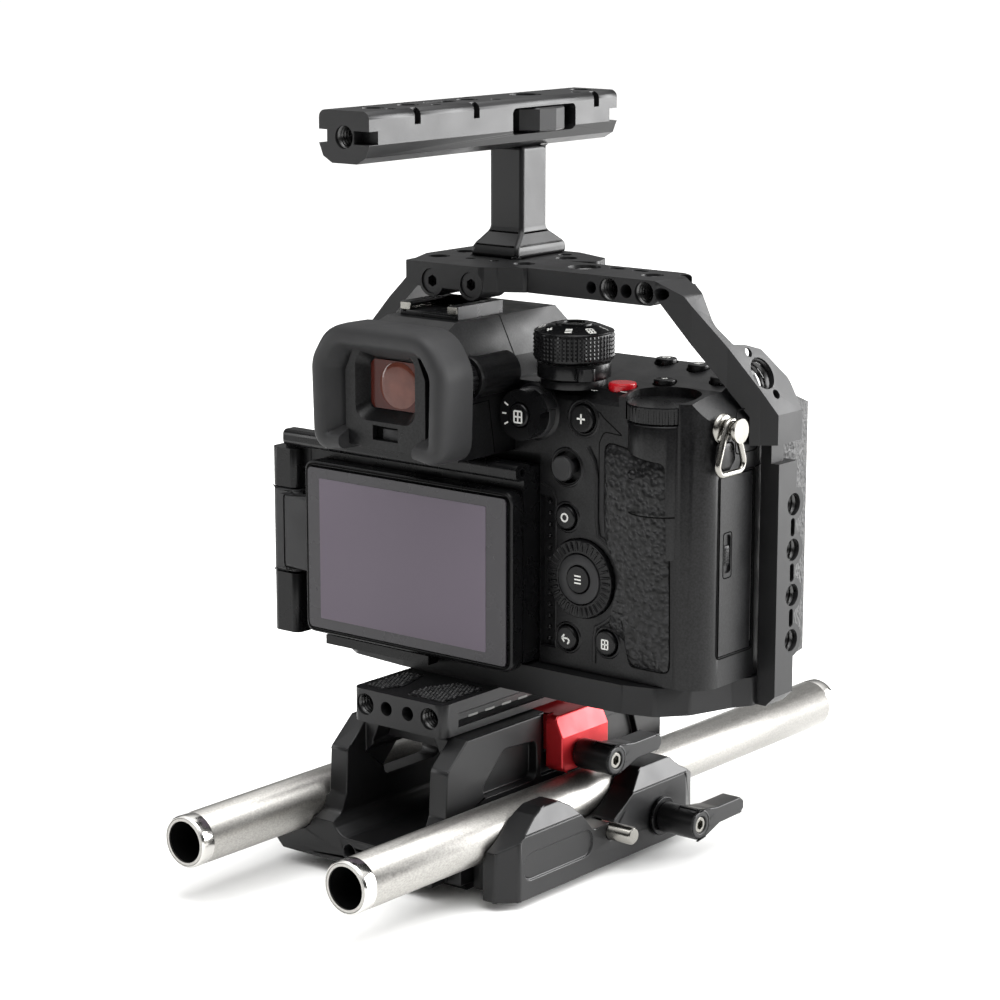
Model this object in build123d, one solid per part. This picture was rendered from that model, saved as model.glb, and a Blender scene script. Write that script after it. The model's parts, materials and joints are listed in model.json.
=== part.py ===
from build123d import *
import math
import os

os.makedirs("parts", exist_ok=True)

# ---------------------------------------------------------------- driving dimensions (mm)
# The rig is drawn with the rod axes at Z 0 and the rods' rear ends at Y 0, then moved so that
# the mouth of the tripod thread is the origin. +Y is the way the lens looks, +X the grip side.
BASE_Z, THREAD_Y = -18.0, 95.0      # underside of the dovetail shoe, tripod thread
ROD_R, ROD_X, ROD_L = 7.5, 30.0, 230.5
ROD_BORE_R, ROD_BORE_L, ROD_TUBE_R, ROD_RIM = 6.0, 22.0, 5.6, 0.75
FIT, GAP = 0.05, 0.4                # radial running fit, air gap between moving parts
Q14, Q38 = 3.175, 4.7625            # 1/4-20 and 3/8-16 thread radii
WALL_X, WALL_IN = 22.0, 15.4        # riser walls, outer and inner face
RISER_Y0, RISER_Y1, FOOT_Y0 = 51.0, 154.0, 45.0
RAIL_Z, DECK_Z = 18.9, 24.9         # dovetail rails on top of the riser
JAW_Y0, JAW_Y1, JAW_X = 96.0, 118.5, 28.6
ARM_X = 46.0                        # outer face of the rod clamps
LEVER_R, LEVER_L = 4.5, 13.2
PLATE_W, PLATE_Y0, PLATE_Y1, PLATE_Z1 = 17.0, 56.0, 142.0, 35.0
CAGE_T, CAGE_X = 6.0, 90.0          # cage wall thickness, outer face on the grip side
CAGE_Z0, CAGE_Z1, TOP_Z0, TOP_Z1 = 35.0, 43.2, 149.0, 156.0
BODY_X0, BODY_X1, BODY_Y0, BODY_Y1 = -55.0, 83.0, 86.5, 122.0
BODY_Z0, LENS_Z, LENS_R = 43.5, 84.0, 29.0
BAR_W, BAR_Z0, BAR_Z1, BAR_Y0, BAR_Y1 = 9.0, 187.5, 201.7, 36.3, 146.5
WHEEL = (0.0, 114.3)                # thumbwheel in the handle, x and y
LCD = dict(x0=-51.4, x1=27.2, z0=42.4, z1=94.5, y0=73.8, y1=79.6)
MODE = (35.3, 92.0)                 # mode dial
THUMB = (66.2, 92.0)                # rear top dial
REAR = (42.8, 70.3)                 # rear wheel, x and z
PLACE = Pos(0, -THREAD_Y, -BASE_Z)


# ---------------------------------------------------------------- drawing helpers
def block(x0, x1, y0, y1, z0, z1):
    return Pos((x0 + x1) / 2, (y0 + y1) / 2, (z0 + z1) / 2) * Box(x1 - x0, y1 - y0, z1 - z0)


def rounded(shape, axis, radius):
    return fillet(shape.edges().filter_by(axis), radius)


def prism(points, axis, a0, a1, radius=0.0, corners=None):
    """A polygon pushed along an axis from a0 to a1, its corners rounded."""
    plane = {"X": Plane((a0, 0, 0), x_dir=(0, 1, 0), z_dir=(1, 0, 0)),
             "Y": Plane((0, a0, 0), x_dir=(1, 0, 0), z_dir=(0, -1, 0)),
             "Z": Plane((0, 0, a0))}[axis]
    face = make_face(Polyline(*points, close=True))
    if radius:
        picked = face.vertices()
        if corners is not None:
            picked = [min(picked, key=lambda v: abs(v.X - c[0]) + abs(v.Y - c[1])) for c in corners]
        face = fillet(picked, radius)
    depth = a1 - a0 if axis != "Y" else a0 - a1
    return extrude(plane * face, depth)


def rod(centre, direction, radius, length):
    return Solid.make_cylinder(radius, length, Plane(origin=centre, z_dir=direction))


def ring(centre, direction, outer, inner, length):
    return rod(centre, direction, outer, length) - rod(centre, direction, inner, length)


def x_rod(x0, x1, y, z, r):
    return rod((x0, y, z), (1, 0, 0), r, x1 - x0)


def y_rod(y0, y1, x, z, r):
    return rod((x, y0, z), (0, 1, 0), r, y1 - y0)


def z_rod(z0, z1, x, y, r):
    return rod((x, y, z0), (0, 0, 1), r, z1 - z0)


def hexagon(centre, direction, across, length):
    plane = Plane(origin=centre, z_dir=direction)
    return extrude(plane * RegularPolygon(across / math.sqrt(3), 6), length)


def slot_x(x0, x1, y0, y1, z0, z1):
    """A cutter with rounded corners, open along X."""
    s = block(x0, x1, y0, y1, z0, z1)
    return rounded(s, Axis.X, min(y1 - y0, z1 - z0) * 0.45)


def save(shape, node):
    shape = PLACE * shape
    export_step(shape, "parts/%s.step" % node)
    print(node, round(shape.volume, 1), len(shape.solids()))


# ---------------------------------------------------------------- rods
def tube(side):
    x = side * ROD_X
    body = y_rod(0, ROD_L, x, 0, ROD_R)
    body = chamfer(body.edges().filter_by(GeomType.CIRCLE), ROD_RIM)
    body -= y_rod(-1, ROD_L + 1, x, 0, ROD_TUBE_R)
    for y in (0, ROD_L - ROD_BORE_L):
        body -= y_rod(y, y + ROD_BORE_L, x, 0, ROD_BORE_R)
    return body


def rod_space(side, radius):
    return y_rod(FOOT_Y0 - 5, RISER_Y1 + 5, side * ROD_X, 0, radius)


# ---------------------------------------------------------------- riser and its clamps
def riser():
    y0, y1 = RISER_Y0, RISER_Y1
    body = block(-WALL_X, WALL_X, y0, y1, -14.5, DECK_Z)
    body += block(-WALL_X, WALL_X, FOOT_Y0, y0, -14.5, 12)
    hollow = block(-WALL_IN, WALL_IN, FOOT_Y0 - 1, y1 + 1, -6.5, 40)
    low = hollow.edges().filter_by(Axis.Y).sort_by(Axis.Z)[:2]
    body -= fillet(low, 6.0)
    wing = [(-38, -11.5), (-35, -14.5), (-WALL_X, -14.5), (-WALL_X, 3.0), (-38, -4.5)]
    body += prism(wing, "Y", FOOT_Y0, y1 - 4)
    body += block(WALL_X, 27.5, FOOT_Y0 + 6, y1 - 4, -14.5, -1.0)
    heel = [(FOOT_Y0 - 1, -3.0), (49.0, -1.0), (51.4, 4.0), (52.2, 17.3), (62.5, 26.2), (62.5, 31),
            (FOOT_Y0 - 1, 31)]
    heel_cut = prism(heel, "X", -40, 40, 2.4, heel[1:4])
    rail = [(WALL_IN, 15.0), (12.6, 17.6), (12.6, RAIL_Z), (9.8, DECK_Z), (WALL_IN, DECK_Z)]
    for side in (-1, 1):
        body += prism([(side * x, z) for x, z in rail], "Y", 60.0, y1)
        body -= rod_space(side, ROD_R + FIT)
    body -= heel_cut
    body -= prism([(y1 + 1, 12.0), (146.0, 25.2), (y1 + 1, 25.2)], "X", -23, 23)
    window = [(64.5, 6.0), (92.5, 6.0), (92.5, 17.4), (77.5, 18.4)]
    body -= prism(window, "X", -WALL_X - 1, -WALL_IN + 1, 2.4)
    body -= prism(window, "X", WALL_X - 3.0, WALL_X + 1, 2.4)
    for side in (-1, 1):
        body -= prism([(126, 6.0), (143, 6.0), (139, 17.0), (126, 17.0)], "X",
                      *sorted((side * (WALL_X - 2.0), side * (WALL_X + 1))), 2.4)
    body -= block(WALL_IN - 7, WALL_X + 1, JAW_Y0 + 1.6, JAW_Y1 - 1.6, 12.6, 30)
    body -= block(WALL_X - 1.2, WALL_X + 1, JAW_Y0 - 1.2, JAW_Y1 + 1.2, 6.5, 30)
    body -= z_rod(-14.5, -8.0, 0, THREAD_Y, Q38)
    for y in (THREAD_Y - 20, THREAD_Y + 20):
        body -= z_rod(-14.5, -8.0, 0, y, Q14)
    for x in (-14, 14):
        for y in (66, 134):
            body -= z_rod(-14.5, -8.4, x, y, 1.6)
    for y in (62, 132):
        body -= x_rod(18.0, 28.0, y, -12.2, 2.0)
    for y in (96, 130):
        body -= x_rod(-38.0, -28.0, y, -11.0, 1.8)
    for y in (FOOT_Y0, y1):
        for x in (-9, 9):
            body -= y_rod(y - 9, y + 9, x, -10.4, 2.1)
    return body


def shoe():
    z = BASE_Z
    body = prism([(-24, z), (24, z), (20.5, -14.5), (-20.5, -14.5)], "Y", 58, 142)
    trim = rounded(block(-30, 30, 58, 142, z - 1, -14), Axis.Z, 7.0)
    body = body & trim
    body -= z_rod(z - 1, -14, 0, THREAD_Y, Q38)
    for y in (THREAD_Y - 20, THREAD_Y + 20):
        body -= z_rod(z - 1, -14, 0, y, Q14)
    for x in (-14, 14):
        for y in (66, 134):
            body -= z_rod(z - 1, -14, x, y, 1.6) + z_rod(z - 1, z + 2.2, x, y, 3.1)
    for y in (82, 108):
        body -= rounded(block(-17, -9, y - 2.2, y + 2.2, z - 1, -14), Axis.Z, 2.1)
        body -= rounded(block(9, 17, y - 2.2, y + 2.2, z - 1, -14), Axis.Z, 2.1)
    return body


def base_screws():
    z, out = BASE_Z, None
    for x in (-14, 14):
        for y in (66, 134):
            s = z_rod(z + 0.3, z + 2.2, x, y, 3.0) + z_rod(z + 2.2, -8.6, x, y, 1.6)
            s -= hexagon((x, y, z + 0.3), (0, 0, 1), 2.5, 1.3)
            out = s if out is None else out + s
    for y in (62, 132):
        out += x_rod(18.4, 36.0, y, -12.2, 2.0)
    for y in (96, 130):
        s = x_rod(-46.0, -42.0, y, -11.0, 3.4) + x_rod(-42.0, -28.4, y, -11.0, 1.8)
        out += s - hexagon((-46.0, y, -11.0), (1, 0, 0), 3.0, 2.2)
    return out


ARM_TOP = [(49.5, -16.0), (49.5, -1.5), (54.0, 1.0), (64.0, 6.6), (67.5, 8.0), (75.5, 8.0),
           (80.0, 5.6), (88.5, -3.4), (98.0, -3.4), (108.5, 3.4), (114.5, 8.2), (129.0, 8.2),
           (133.0, 4.6), (140.0, 0.6), (140.0, -13.0), (137.0, -16.0)]


def right_arm():
    rounds = [(67.5, 8.0), (75.5, 8.0), (88.5, -3.4), (98.0, -3.4), (114.5, 8.2), (129.0, 8.2)]
    body = prism(ARM_TOP, "X", 36.6, ARM_X, 2.4, rounds)
    body += block(28.0, 38.0, 56, 136, -16.0, -6.0)
    plan = [(27, 49.5), (41, 49.5), (46, 54.5), (46, 134), (43.5, 140), (27, 140)]
    body = body & prism(plan, "Z", -17, 10, 2.0, [(41, 49.5), (46, 54.5), (46, 134)])
    body -= rod_space(1, ROD_R + GAP)
    body -= block(20, 36.0, 100, 109, -9.0, 0)
    body -= slot_x(ARM_X - 0.6, ARM_X + 1, 56.5, 88.0, -10.6, -2.8)
    body -= x_rod(39.2, 47.0, 97.0, -6.0, 2.6 + FIT)
    body -= x_rod(37.2, 47.0, 121.0, -7.5, 2.5 + FIT)
    for y in (62, 132):
        body -= x_rod(27.0, 37.5, y, -12.2, 2.0 + FIT)
    bevel = [(ARM_X + 1, 2.6), (ARM_X - 0.4, 2.6), (ARM_X - 3.4, 9.5), (ARM_X + 1, 9.5)]
    return body - prism(bevel, "Y", 45, 145)


def left_clamp():
    pts = [(84, -16.0), (84, -3.0), (92, 4.6), (97, 7.0), (128, 7.0), (134, 3.0), (142, -3.0),
           (142, -16.0)]
    body = prism(pts, "X", -ARM_X, -38.0, 2.4, pts[2:6])
    body += prism(pts, "X", -38.0, -36.4, 2.4, pts[2:6]) & block(-39, -36, 80, 145, -3.3, 9)
    body -= rod_space(-1, ROD_R + FIT)
    bevel = [(-ARM_X - 1, 1.6), (-ARM_X + 0.4, 1.6), (-ARM_X + 3.4, 8.5), (-ARM_X - 1, 8.5)]
    body -= prism(bevel, "Y", 80, 146)
    for y in (96, 130):
        body -= x_rod(-47.0, -42.0, y, -11.0, 3.4) + x_rod(-42.0, -37.0, y, -11.0, 1.8)
    return body


def lever(x, y, z):
    """Barrel on an X axis with a paddle reaching forward, bored for its screw."""
    body = x_rod(x, x + LEVER_L, y, z, LEVER_R)
    body = chamfer(body.edges().filter_by(GeomType.CIRCLE), 0.5)
    side = [(-1.0, 4.4), (5.0, 3.9), (9.0, 3.3), (20.6, 3.3), (22.4, 1.9), (22.4, -0.4),
            (20.6, -1.7), (10.0, -1.9), (3.4, -4.1), (-1.0, -4.3)]
    paddle = prism([(y + a, z + b) for a, b in side], "X", x + LEVER_L - 6.8, x + LEVER_L - 0.2, 0.8,
                   [(y + side[k][0], z + side[k][1]) for k in (3, 4, 5, 6)])
    body += paddle
    body -= x_rod(x - 1, x + LEVER_L + 1, y, z, 2.5)
    return body


def lever_screw(x_in, x_out, y, z):
    body = x_rod(x_in, x_out, y, z, 2.5)
    body = chamfer(body.edges().filter_by(GeomType.CIRCLE), 0.3)
    return body - hexagon((x_out, y, z), (-1, 0, 0), 2.6, 2.0)


def jaw():
    front = prism([(JAW_Y0, 7.9), (JAW_Y1, 7.9), (JAW_Y1, 24.4), (JAW_Y0, 24.4)], "X", WALL_X + GAP,
                  JAW_X, 2.4)
    slope = [(JAW_X + 1, 17.4), (JAW_X, 18.5), (JAW_X - 3.0, 24.6), (JAW_X + 1, 26.0)]
    front -= prism(slope, "Y", JAW_Y0 - 1, JAW_Y1 + 1)
    tongue = [(23, 13.2), (13.2, 13.2), (13.0, RAIL_Z), (10.3, 24.4), (23, 24.4)]
    body = front + prism(tongue, "Y", JAW_Y0 + 2.0, JAW_Y1 - 2.0)
    return body - x_rod(23.6, JAW_X + 1, 104.5, 12.5, 2.5 + FIT)


def quick_plate():
    w, y0, y1, z0, z1 = PLATE_W, PLATE_Y0, PLATE_Y1, DECK_Z + GAP, PLATE_Z1
    body = rounded(block(-w, w, y0, y1, z0, z1), Axis.Z, 3.0)
    foot = [(-12.0, 19.1), (12.0, 19.1), (9.1, z0), (-9.1, z0)]
    body += prism(foot, "Y", y0 + 10, y1 - 6)
    for side in (-1, 1):
        groove = [(w + 1, 27.4), (w - 1.0, 27.4), (w - 2.2, 28.6), (w - 2.2, 30.4), (w - 1.0, 31.6),
                  (w + 1, 31.6)]
        body -= prism([(side * x, z) for x, z in groove], "Y", y0 + 7, y1 - 7)
    for x in (-12, 12):
        body -= y_rod(y0 - 1, y0 + 6.5, x, 30.6, Q14)
        body -= y_rod(y1 - 6.5, y1 + 1, x, 30.6, Q14)
    for x in (-4, 4):
        body -= y_rod(y0 - 1, y0 + 6, x, 30.6, 2.1)
    body -= z_rod(18, 40, 0, THREAD_Y + 8, Q14) + z_rod(18, 31.4, 0, THREAD_Y + 8, 6.0)
    for pocket in pads(0.0):
        body -= pocket
    return body


def pads(proud):
    """Two ribbed rubber patches let into the rear of the plate's top face."""
    z0, z1, y0 = PLATE_Z1 - 0.8, PLATE_Z1 + proud, PLATE_Y0
    left = prism([(-14.5, y0 + 3), (-7.5, y0 + 3), (-5.0, y0 + 9), (-8.5, y0 + 22), (-14.5, y0 + 22)],
                 "Z", z0, z1, 1.5)
    right = prism([(0.5, y0 + 3.5), (8.0, y0 + 3), (14.5, y0 + 3), (14.5, y0 + 22), (5.0, y0 + 22),
                   (0.5, y0 + 12)], "Z", z0, z1, 1.5)
    return [left, right]


# ---------------------------------------------------------------- cage and handle
SLOPE_A, SLOPE_B = (71.5, 151.7), (85.0, 127.4)      # outer line of the cage's right shoulder
slope_len = math.hypot(SLOPE_B[0] - SLOPE_A[0], SLOPE_A[1] - SLOPE_B[1])
SLOPE_N = ((SLOPE_A[1] - SLOPE_B[1]) / slope_len, (SLOPE_B[0] - SLOPE_A[0]) / slope_len)
SHOULDER = (83.9, 113.6, 129.38)                     # 3/8 thread on that slope
HOLE_Z = (53.0, 66.1, 79.1, 92.1)                    # 1/4 threads down the right wall


def cage_base():
    plan = [(-57.5, 95), (-40, 84), (-20, 82), (44, 81.8), (60, 82.2), (69.5, 85), (76, 92.5),
            (78.6, 100), (80.6, 106), (84, 112), (84, 126), (70, 129), (-57.5, 129)]
    body = prism(plan, "Z", CAGE_Z0, CAGE_Z1, 3.0, plan[1:11])
    well = [(-50, 99), (30, 93), (60, 93), (70, 104), (70, 119), (-50, 119)]
    body -= prism(well, "Z", CAGE_Z0 + 3.4, CAGE_Z1 + 1, 3.0) - block(-18, 18, 80, 130, 30, 50)
    body -= z_rod(30, 50, 0, THREAD_Y + 8, Q14) + z_rod(39.4, 50, 0, THREAD_Y + 8, 5.0)
    for x in (-48, -38, -28, 30, 42, 54, 66):
        body -= z_rod(30, 50, x, 124, Q14)
    for x in (-40, -27, 33, 47):
        body -= rounded(block(x - 5, x + 5, 103, 108, 30, 50), Axis.Z, 2.4)
    return body


def cage_side():
    ax, az = SLOPE_A
    bx, bz = SLOPE_B
    t = 5.6
    band = [(84, 35), (87, 35), (CAGE_X, 38), (CAGE_X, 118.4), (bx, bz), (ax, az), (66, 156),
            (22, 156), (22, 149), (64.5, 149), (ax - t * SLOPE_N[0], az - t * SLOPE_N[1] + 1.6),
            (bx - t * SLOPE_N[0], bz - t * SLOPE_N[1]), (84, 118.0)]
    body = prism(band, "Y", 80, 130, 2.4, [(66, 156), (ax, az), (64.5, 149), (bx, bz)])
    high = [(22, 88), (66.4, 88), (73, 95), (79.4, 103), (86, 109.5), (91, 113.6), (91, 124.6),
            (85.4, 124.6), (80.6, 117.6), (79.6, 111.5), (79.2, 106), (76, 101.2), (69, 102.5),
            (62, 107), (22, 107)]
    high_cut = prism(high, "Z", 110, 160, 1.6, high[1:5] + high[7:14])
    low_cut = block(80, 91, 113.6, 122.6, 30, 104.5) + block(80, 87.4, 113.6, 119.6, 104.0, 112)
    for z in HOLE_Z:
        low_cut += x_rod(80, 91, 121.4, z, 5.0)
    body = body & (high_cut + low_cut)
    for z in HOLE_Z:
        body -= x_rod(80, 91, 121.4, z, Q14)
    for a, b in zip(HOLE_Z, HOLE_Z[1:]):
        m = (a + b) / 2
        body -= slot_x(80, 91, 120.1, 122.1, m - 2.6, m + 2.6)
    sx, sy, sz = SHOULDER
    n = (SLOPE_N[0], 0, SLOPE_N[1])
    body -= rod((sx - 9 * n[0], sy, sz - 9 * n[2]), n, Q38, 11)
    down = (n[2], 0.34, -n[0])
    for k in (-6.6, 6.6):
        c = [sx + k * down[0], sy + k * down[1], sz + k * down[2]]
        body -= rod((c[0] - 9 * n[0], c[1], c[2] - 9 * n[2]), n, 1.4, 11)
    for x, r in ((44.1, 1.7), (50.0, Q14), (56.0, 1.9), (62.0, Q14), (67.0, 1.7)):
        body -= y_rod(87, 98 if r == Q14 else 94, x, 152.4, min(r, 3.175))
    for x in (33.0, 58.0):
        body -= z_rod(148, 157, x, 99.5 if x < 40 else 97.5, Q38 if x < 40 else Q14)
    for x in (42.0, 50.0, 66.0):
        body -= rounded(block(x - 2.6, x + 2.6, 101.6, 104.0, 148, 157), Axis.Z, 1.1)
    return body


def cage_top():
    plan = [(-16.5, 80.5), (11.0, 80.5), (14.5, 83.5), (22, 88), (22, 107), (29, 111), (26, 119),
            (12, 125), (-12, 125), (-22, 119), (-22, 96), (-17.5, 86)]
    body = prism(plan, "Z", TOP_Z0, TOP_Z1, 2.6, plan[1:4] + plan[5:])
    for x in (-7.1, 7.1):
        body += y_rod(80.5, 92, x, 150.7, 4.4)
    for x in (-7.1, 7.1):
        body -= y_rod(79, 84.6, x, 150.7, 3.6) + y_rod(84.6, 92, x, 150.7, 2.0)
    for x, y, r in ((-14.5, 93.0, Q14), (-15.5, 106.0, Q14), (15.5, 94.5, Q14), (17.0, 112.0, Q14),
                    (-4.0, 94.5, 1.6), (5.0, 94.5, 1.6), (0.0, 119.0, 1.6)):
        body -= z_rod(145, 157, x, y, r)
    for y in (104.0, 111.5, 118.0):
        body -= z_rod(148, 157, 0, y, 2.0) if y != 118.0 else z_rod(148, 157, 12, 118, 2.0)
    return body


def cage_left():
    band = [(-22, 156), (-22, 149), (-24.4, 147.8), (-31.4, 141.0), (-46.0, 124.8), (-57.5, 111),
            (-57.5, 35), (-60.5, 35), (-63.5, 38), (-63.5, 112.5), (-50.0, 127.6), (-37.4, 141.6),
            (-25.0, 153.6)]
    body = prism(band, "Y", 97, 118, 2.0, band[2:5] + band[9:12])
    body -= slot_x(-70, -50, 101.5, 113.5, 52, 98)
    for z in (46.5, 104.0):
        body -= x_rod(-70, -50, 107.5, z, Q14)
    return body


def cage_screws():
    out = None
    for x in (-7.1, 7.1):
        s = y_rod(81.0, 84.6, x, 150.7, 3.5) + y_rod(84.6, 91.5, x, 150.7, 2.0)
        s -= hexagon((x, 81.0, 150.7), (0, 1, 0), 3.0, 2.4)
        out = s if out is None else out + s
    y = THREAD_Y + 8
    out += z_rod(29.6, 31.4, 0, y, 5.8) + z_rod(31.4, 43.4, 0, y, Q14)
    out -= hexagon((0, y, 29.6), (0, 0, 1), 4.0, 1.2)
    for y in (104.0, 111.5):
        out += z_rod(149.4, 160.0, 0, y, 2.0)
    return out


def handle_post():
    flange = rounded(block(-8.5, 8.5, 100.0, 123.4, TOP_Z1, 159.0), Axis.Z, 1.2)
    low = Plane((0, 111.7, 159.0)) * RectangleRounded(17.0, 23.4, 1.2)
    high = Plane((0, 111.2, 163.4)) * RectangleRounded(12.2, 11.6, 1.2)
    shaft = rounded(block(-6.1, 6.1, 105.4, 117.0, 163.4, BAR_Z0), Axis.Z, 1.2)
    body = flange + loft([low, high]) + shaft
    for y in (104.0, 111.5):
        body -= z_rod(150, 160.2, 0, y, 2.0)
    return body


def handle_bar():
    w, z0, z1 = BAR_W, BAR_Z0, BAR_Z1
    side = [(-w, z0 + 5.2), (-w + 1.4, z0 + 1.8), (-w + 4.6, z0), (w - 4.6, z0), (w - 1.4, z0 + 1.8),
            (w, z0 + 5.2), (w, z1), (-w, z1)]
    body = prism(side, "Y", BAR_Y0, BAR_Y1, 2.2, [(w, z1), (-w, z1)])
    window = block(-w - 1, w + 1, 97.5, 126.5, 191.5, 199.0)
    body -= rounded(window, Axis.X, 1.6)
    body -= z_rod(198, z1 + 1, *WHEEL, Q38) + z_rod(189.0, 192, *WHEEL, 2.0 + FIT)
    for y in (56.2, 81.4, 136.5):
        for side_x in (-1, 1):
            body -= block(*sorted((side_x * (w - 1.9), side_x * (w + 1))), y - 1.25, y + 1.25,
                          z1 - 4.4, z1 + 1)
    for y, back in ((BAR_Y0, 1), (BAR_Y1, -1)):
        a, b = sorted((y - 0.5 * back, y + 12.0 * back))
        body -= y_rod(a, b, 0, 194.6, Q14)
        a, b = sorted((y - 1.0 * back, y + 3.6 * back))
        body -= block(-w - 1, -w + 2.9, a, b, 192.8, 196.4) + block(w - 5.6, w + 1, a, b, 192.8, 196.4)
    for y, deep in ((48.0, 3.2), (62.5, 5.0), (88.0, 5.0), (140.6, 3.2)):
        body -= z_rod(z1 - deep, z1 + 1, 0, y, Q14)
    for y in (49.0, 68.0, 94.0, 131.0):
        for x in (-5.6, 5.6):
            body -= z_rod(z1 - 3.0, z1 + 1, x, y, 1.5)
    body -= rounded(block(-2.4, 2.4, 70, 82, z1 - 2.4, z1 + 1), Axis.Z, 2.3)
    return body


def handle_wheel():
    x, y = WHEEL
    disc = extrude(Plane((x, y, 191.9)) * RegularPolygon(11.4, 12), 6.7)
    disc = chamfer(disc.edges().filter_by(Plane.XY), 0.4)
    return disc + z_rod(198.6, 201.0, x, y, Q38 - FIT) + z_rod(189.4, 191.9, x, y, 2.0)


# ---------------------------------------------------------------- camera body
DECK = [(80.0, 122.6), (95.0, 124.6), (103.0, 124.9), (109.5, 126.6), (117.0, 128.4),
        (124.0, 128.4)]


def deck_z(y):
    for (a, za), (b, zb) in zip(DECK, DECK[1:]):
        if a <= y <= b:
            return za + (zb - za) * (y - a) / (b - a)


# top buttons and rear buttons: name, the two centre coordinates, radius
TOP_BUTTONS = [("record_button", 50.2, 94.7, 3.9), ("exposure_button", 57.9, 103.9, 3.1),
               ("balance_button", 48.6, 117.6, 3.1), ("gain_button", 60.9, 116.0, 3.1),
               ("shift_button", 73.0, 109.6, 3.1)]
REAR_BUTTONS = [("focus_start_button", 42.9, 115.9, 3.9), ("quick_menu_button", 37.3, 87.2, 3.4),
                ("return_button", 37.9, 52.4, 3.5), ("display_button", 51.7, 53.1, 3.5)]
AF = (26.2, 116.0)                  # focus mode lever
STICK = (37.2, 101.4)
SHUTTER = (66.0, 131.0)
FRONT_DIAL = (143.4, 111.0)         # y and z of the dial's axis
DIOPTER = (16.6, 127.0)             # x and z of the eyesight dial's axis
LUG, LEFT_LUG = (95.5, 116.5), (92.2, 111.0)
DOOR = dict(y0=95.0, y1=111.6, z0=52.0, z1=103.0)
STRIP_X = (27.9, 33.6)


def button_space(travel=0.8):
    out = None
    for _, x, y, r in TOP_BUTTONS:
        s = z_rod(deck_z(y) - 3.4, 140, x, y, r + GAP)
        out = s if out is None else out + s
    for _, x, z, r in REAR_BUTTONS:
        out += y_rod(70, BODY_Y0 + 3.4, x, z, r + GAP)
    x, z = REAR
    out += y_rod(70, BODY_Y0 + 2.6, x, z, 11.6)
    out += y_rod(70, BODY_Y0 + 3.4, *STICK, 4.7)
    out += z_rod(117.4, 140, *THUMB, 10.4) + z_rod(109.0, 118, *THUMB, 2.0 + FIT)
    return out


def camera_body():
    body = block(BODY_X0, BODY_X1, BODY_Y0, BODY_Y1, BODY_Z0, 130)
    right = body.edges().filter_by(Axis.Z).sort_by(Axis.X)[2:]
    body = fillet(right, 9.0)
    left = body.edges().filter_by(Axis.Z).sort_by(Axis.X)[:2]
    body = fillet(left, 5.0)
    body += z_rod(80, 117.4, *THUMB, 9.7)
    body -= prism([(60, 122.6)] + DECK + [(140, 128.4), (140, 140), (60, 140)], "X", 27.0, 90)
    body -= block(-70, -27, 60, 140, 117.0, 140)
    body -= block(-27, 27.0, 60, 140, 124.5, 140)
    body -= prism([(75, 132), (76, 127.2), (90, 108.0), (90, 132)], "Y", 70, 140)
    body -= prism([(-44, 119), (-56, 108), (-60, 119)], "Y", 70, 140)
    body -= block(-70, LCD["x1"] + 0.5, 70, BODY_Y0 + 1.9, 40, 104.0)
    body -= block(*STRIP_X, 70, BODY_Y0 + 1.9, 48.5, 92.5)
    body -= prism(thumb_outline(), "Y", 70, BODY_Y0 + 1.0, 2.0)
    body -= prism([(85, 118.6), (85, 126), (91.4, 126), (91.4, 124.2), (87.4, 121.6)], "X", 27.7, 55.0)
    body += z_rod(123.8, 126.2, *MODE, 9.4)
    body -= button_space()
    body -= finder_block() + block(-18.5, 18.5, 60, 90, 103.5, 130)
    body -= y_rod(BODY_Y0 - 1, BODY_Y0 + 6.4, *AF, 2.5 + FIT)
    x, z = REAR
    body -= y_rod(BODY_Y0 + 2.0, BODY_Y0 + 7, x, z, 2.0 + FIT)
    body -= y_rod(108, 130, 0, LENS_Z, 22.0)
    body -= y_rod(120.0, 130, 0, LENS_Z, LENS_R)
    d = DOOR
    body -= block(BODY_X1 - 1.9, 90, d["y0"], d["y1"] + 0.3, d["z0"], d["z1"])
    body -= block(BODY_X1 - 9, BODY_X1 - 1.0, d["y0"] + 3, d["y1"] - 3, d["z0"] + 5, d["z1"] - 5)
    body -= x_rod(BODY_X1 - 6, 90, *LUG, 1.6)
    body -= x_rod(-60, BODY_X0 + 6, *LEFT_LUG, 1.6)
    body -= z_rod(BODY_Z0 - 1, BODY_Z0 + 6, 0, THREAD_Y + 8, Q14)
    body -= z_rod(112.0, 127.0, *MODE, 2.5 + FIT) + z_rod(126.0, 140.0, *MODE, 12.4)
    return body


def thumb_outline():
    x, z = REAR
    arc = [(x + 15.2 * math.cos(math.radians(a)), z + 15.2 * math.sin(math.radians(a)))
           for a in (-58, -30, 0, 30, 58)]
    return [(59.4, 47.5), (57.6, 55.5)] + arc + [(50.2, 92.0), (50.4, 110.4), (72.2, 107.0),
                                                  (73.2, 47.5)]


def thumb_rubber():
    body = prism(thumb_outline(), "Y", BODY_Y0 - 0.35, BODY_Y0 + 1.0, 2.0)
    return body


def finder_block():
    """The block that the viewfinder housing fills above the body."""
    side = [(-18.0, 104.0), (18.0, 104.0), (18.0, 131.0), (12.5, 142.0), (-12.5, 142.0), (-18.0, 131.0)]
    return prism(side, "Y", 62.0, 121.0)


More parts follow.
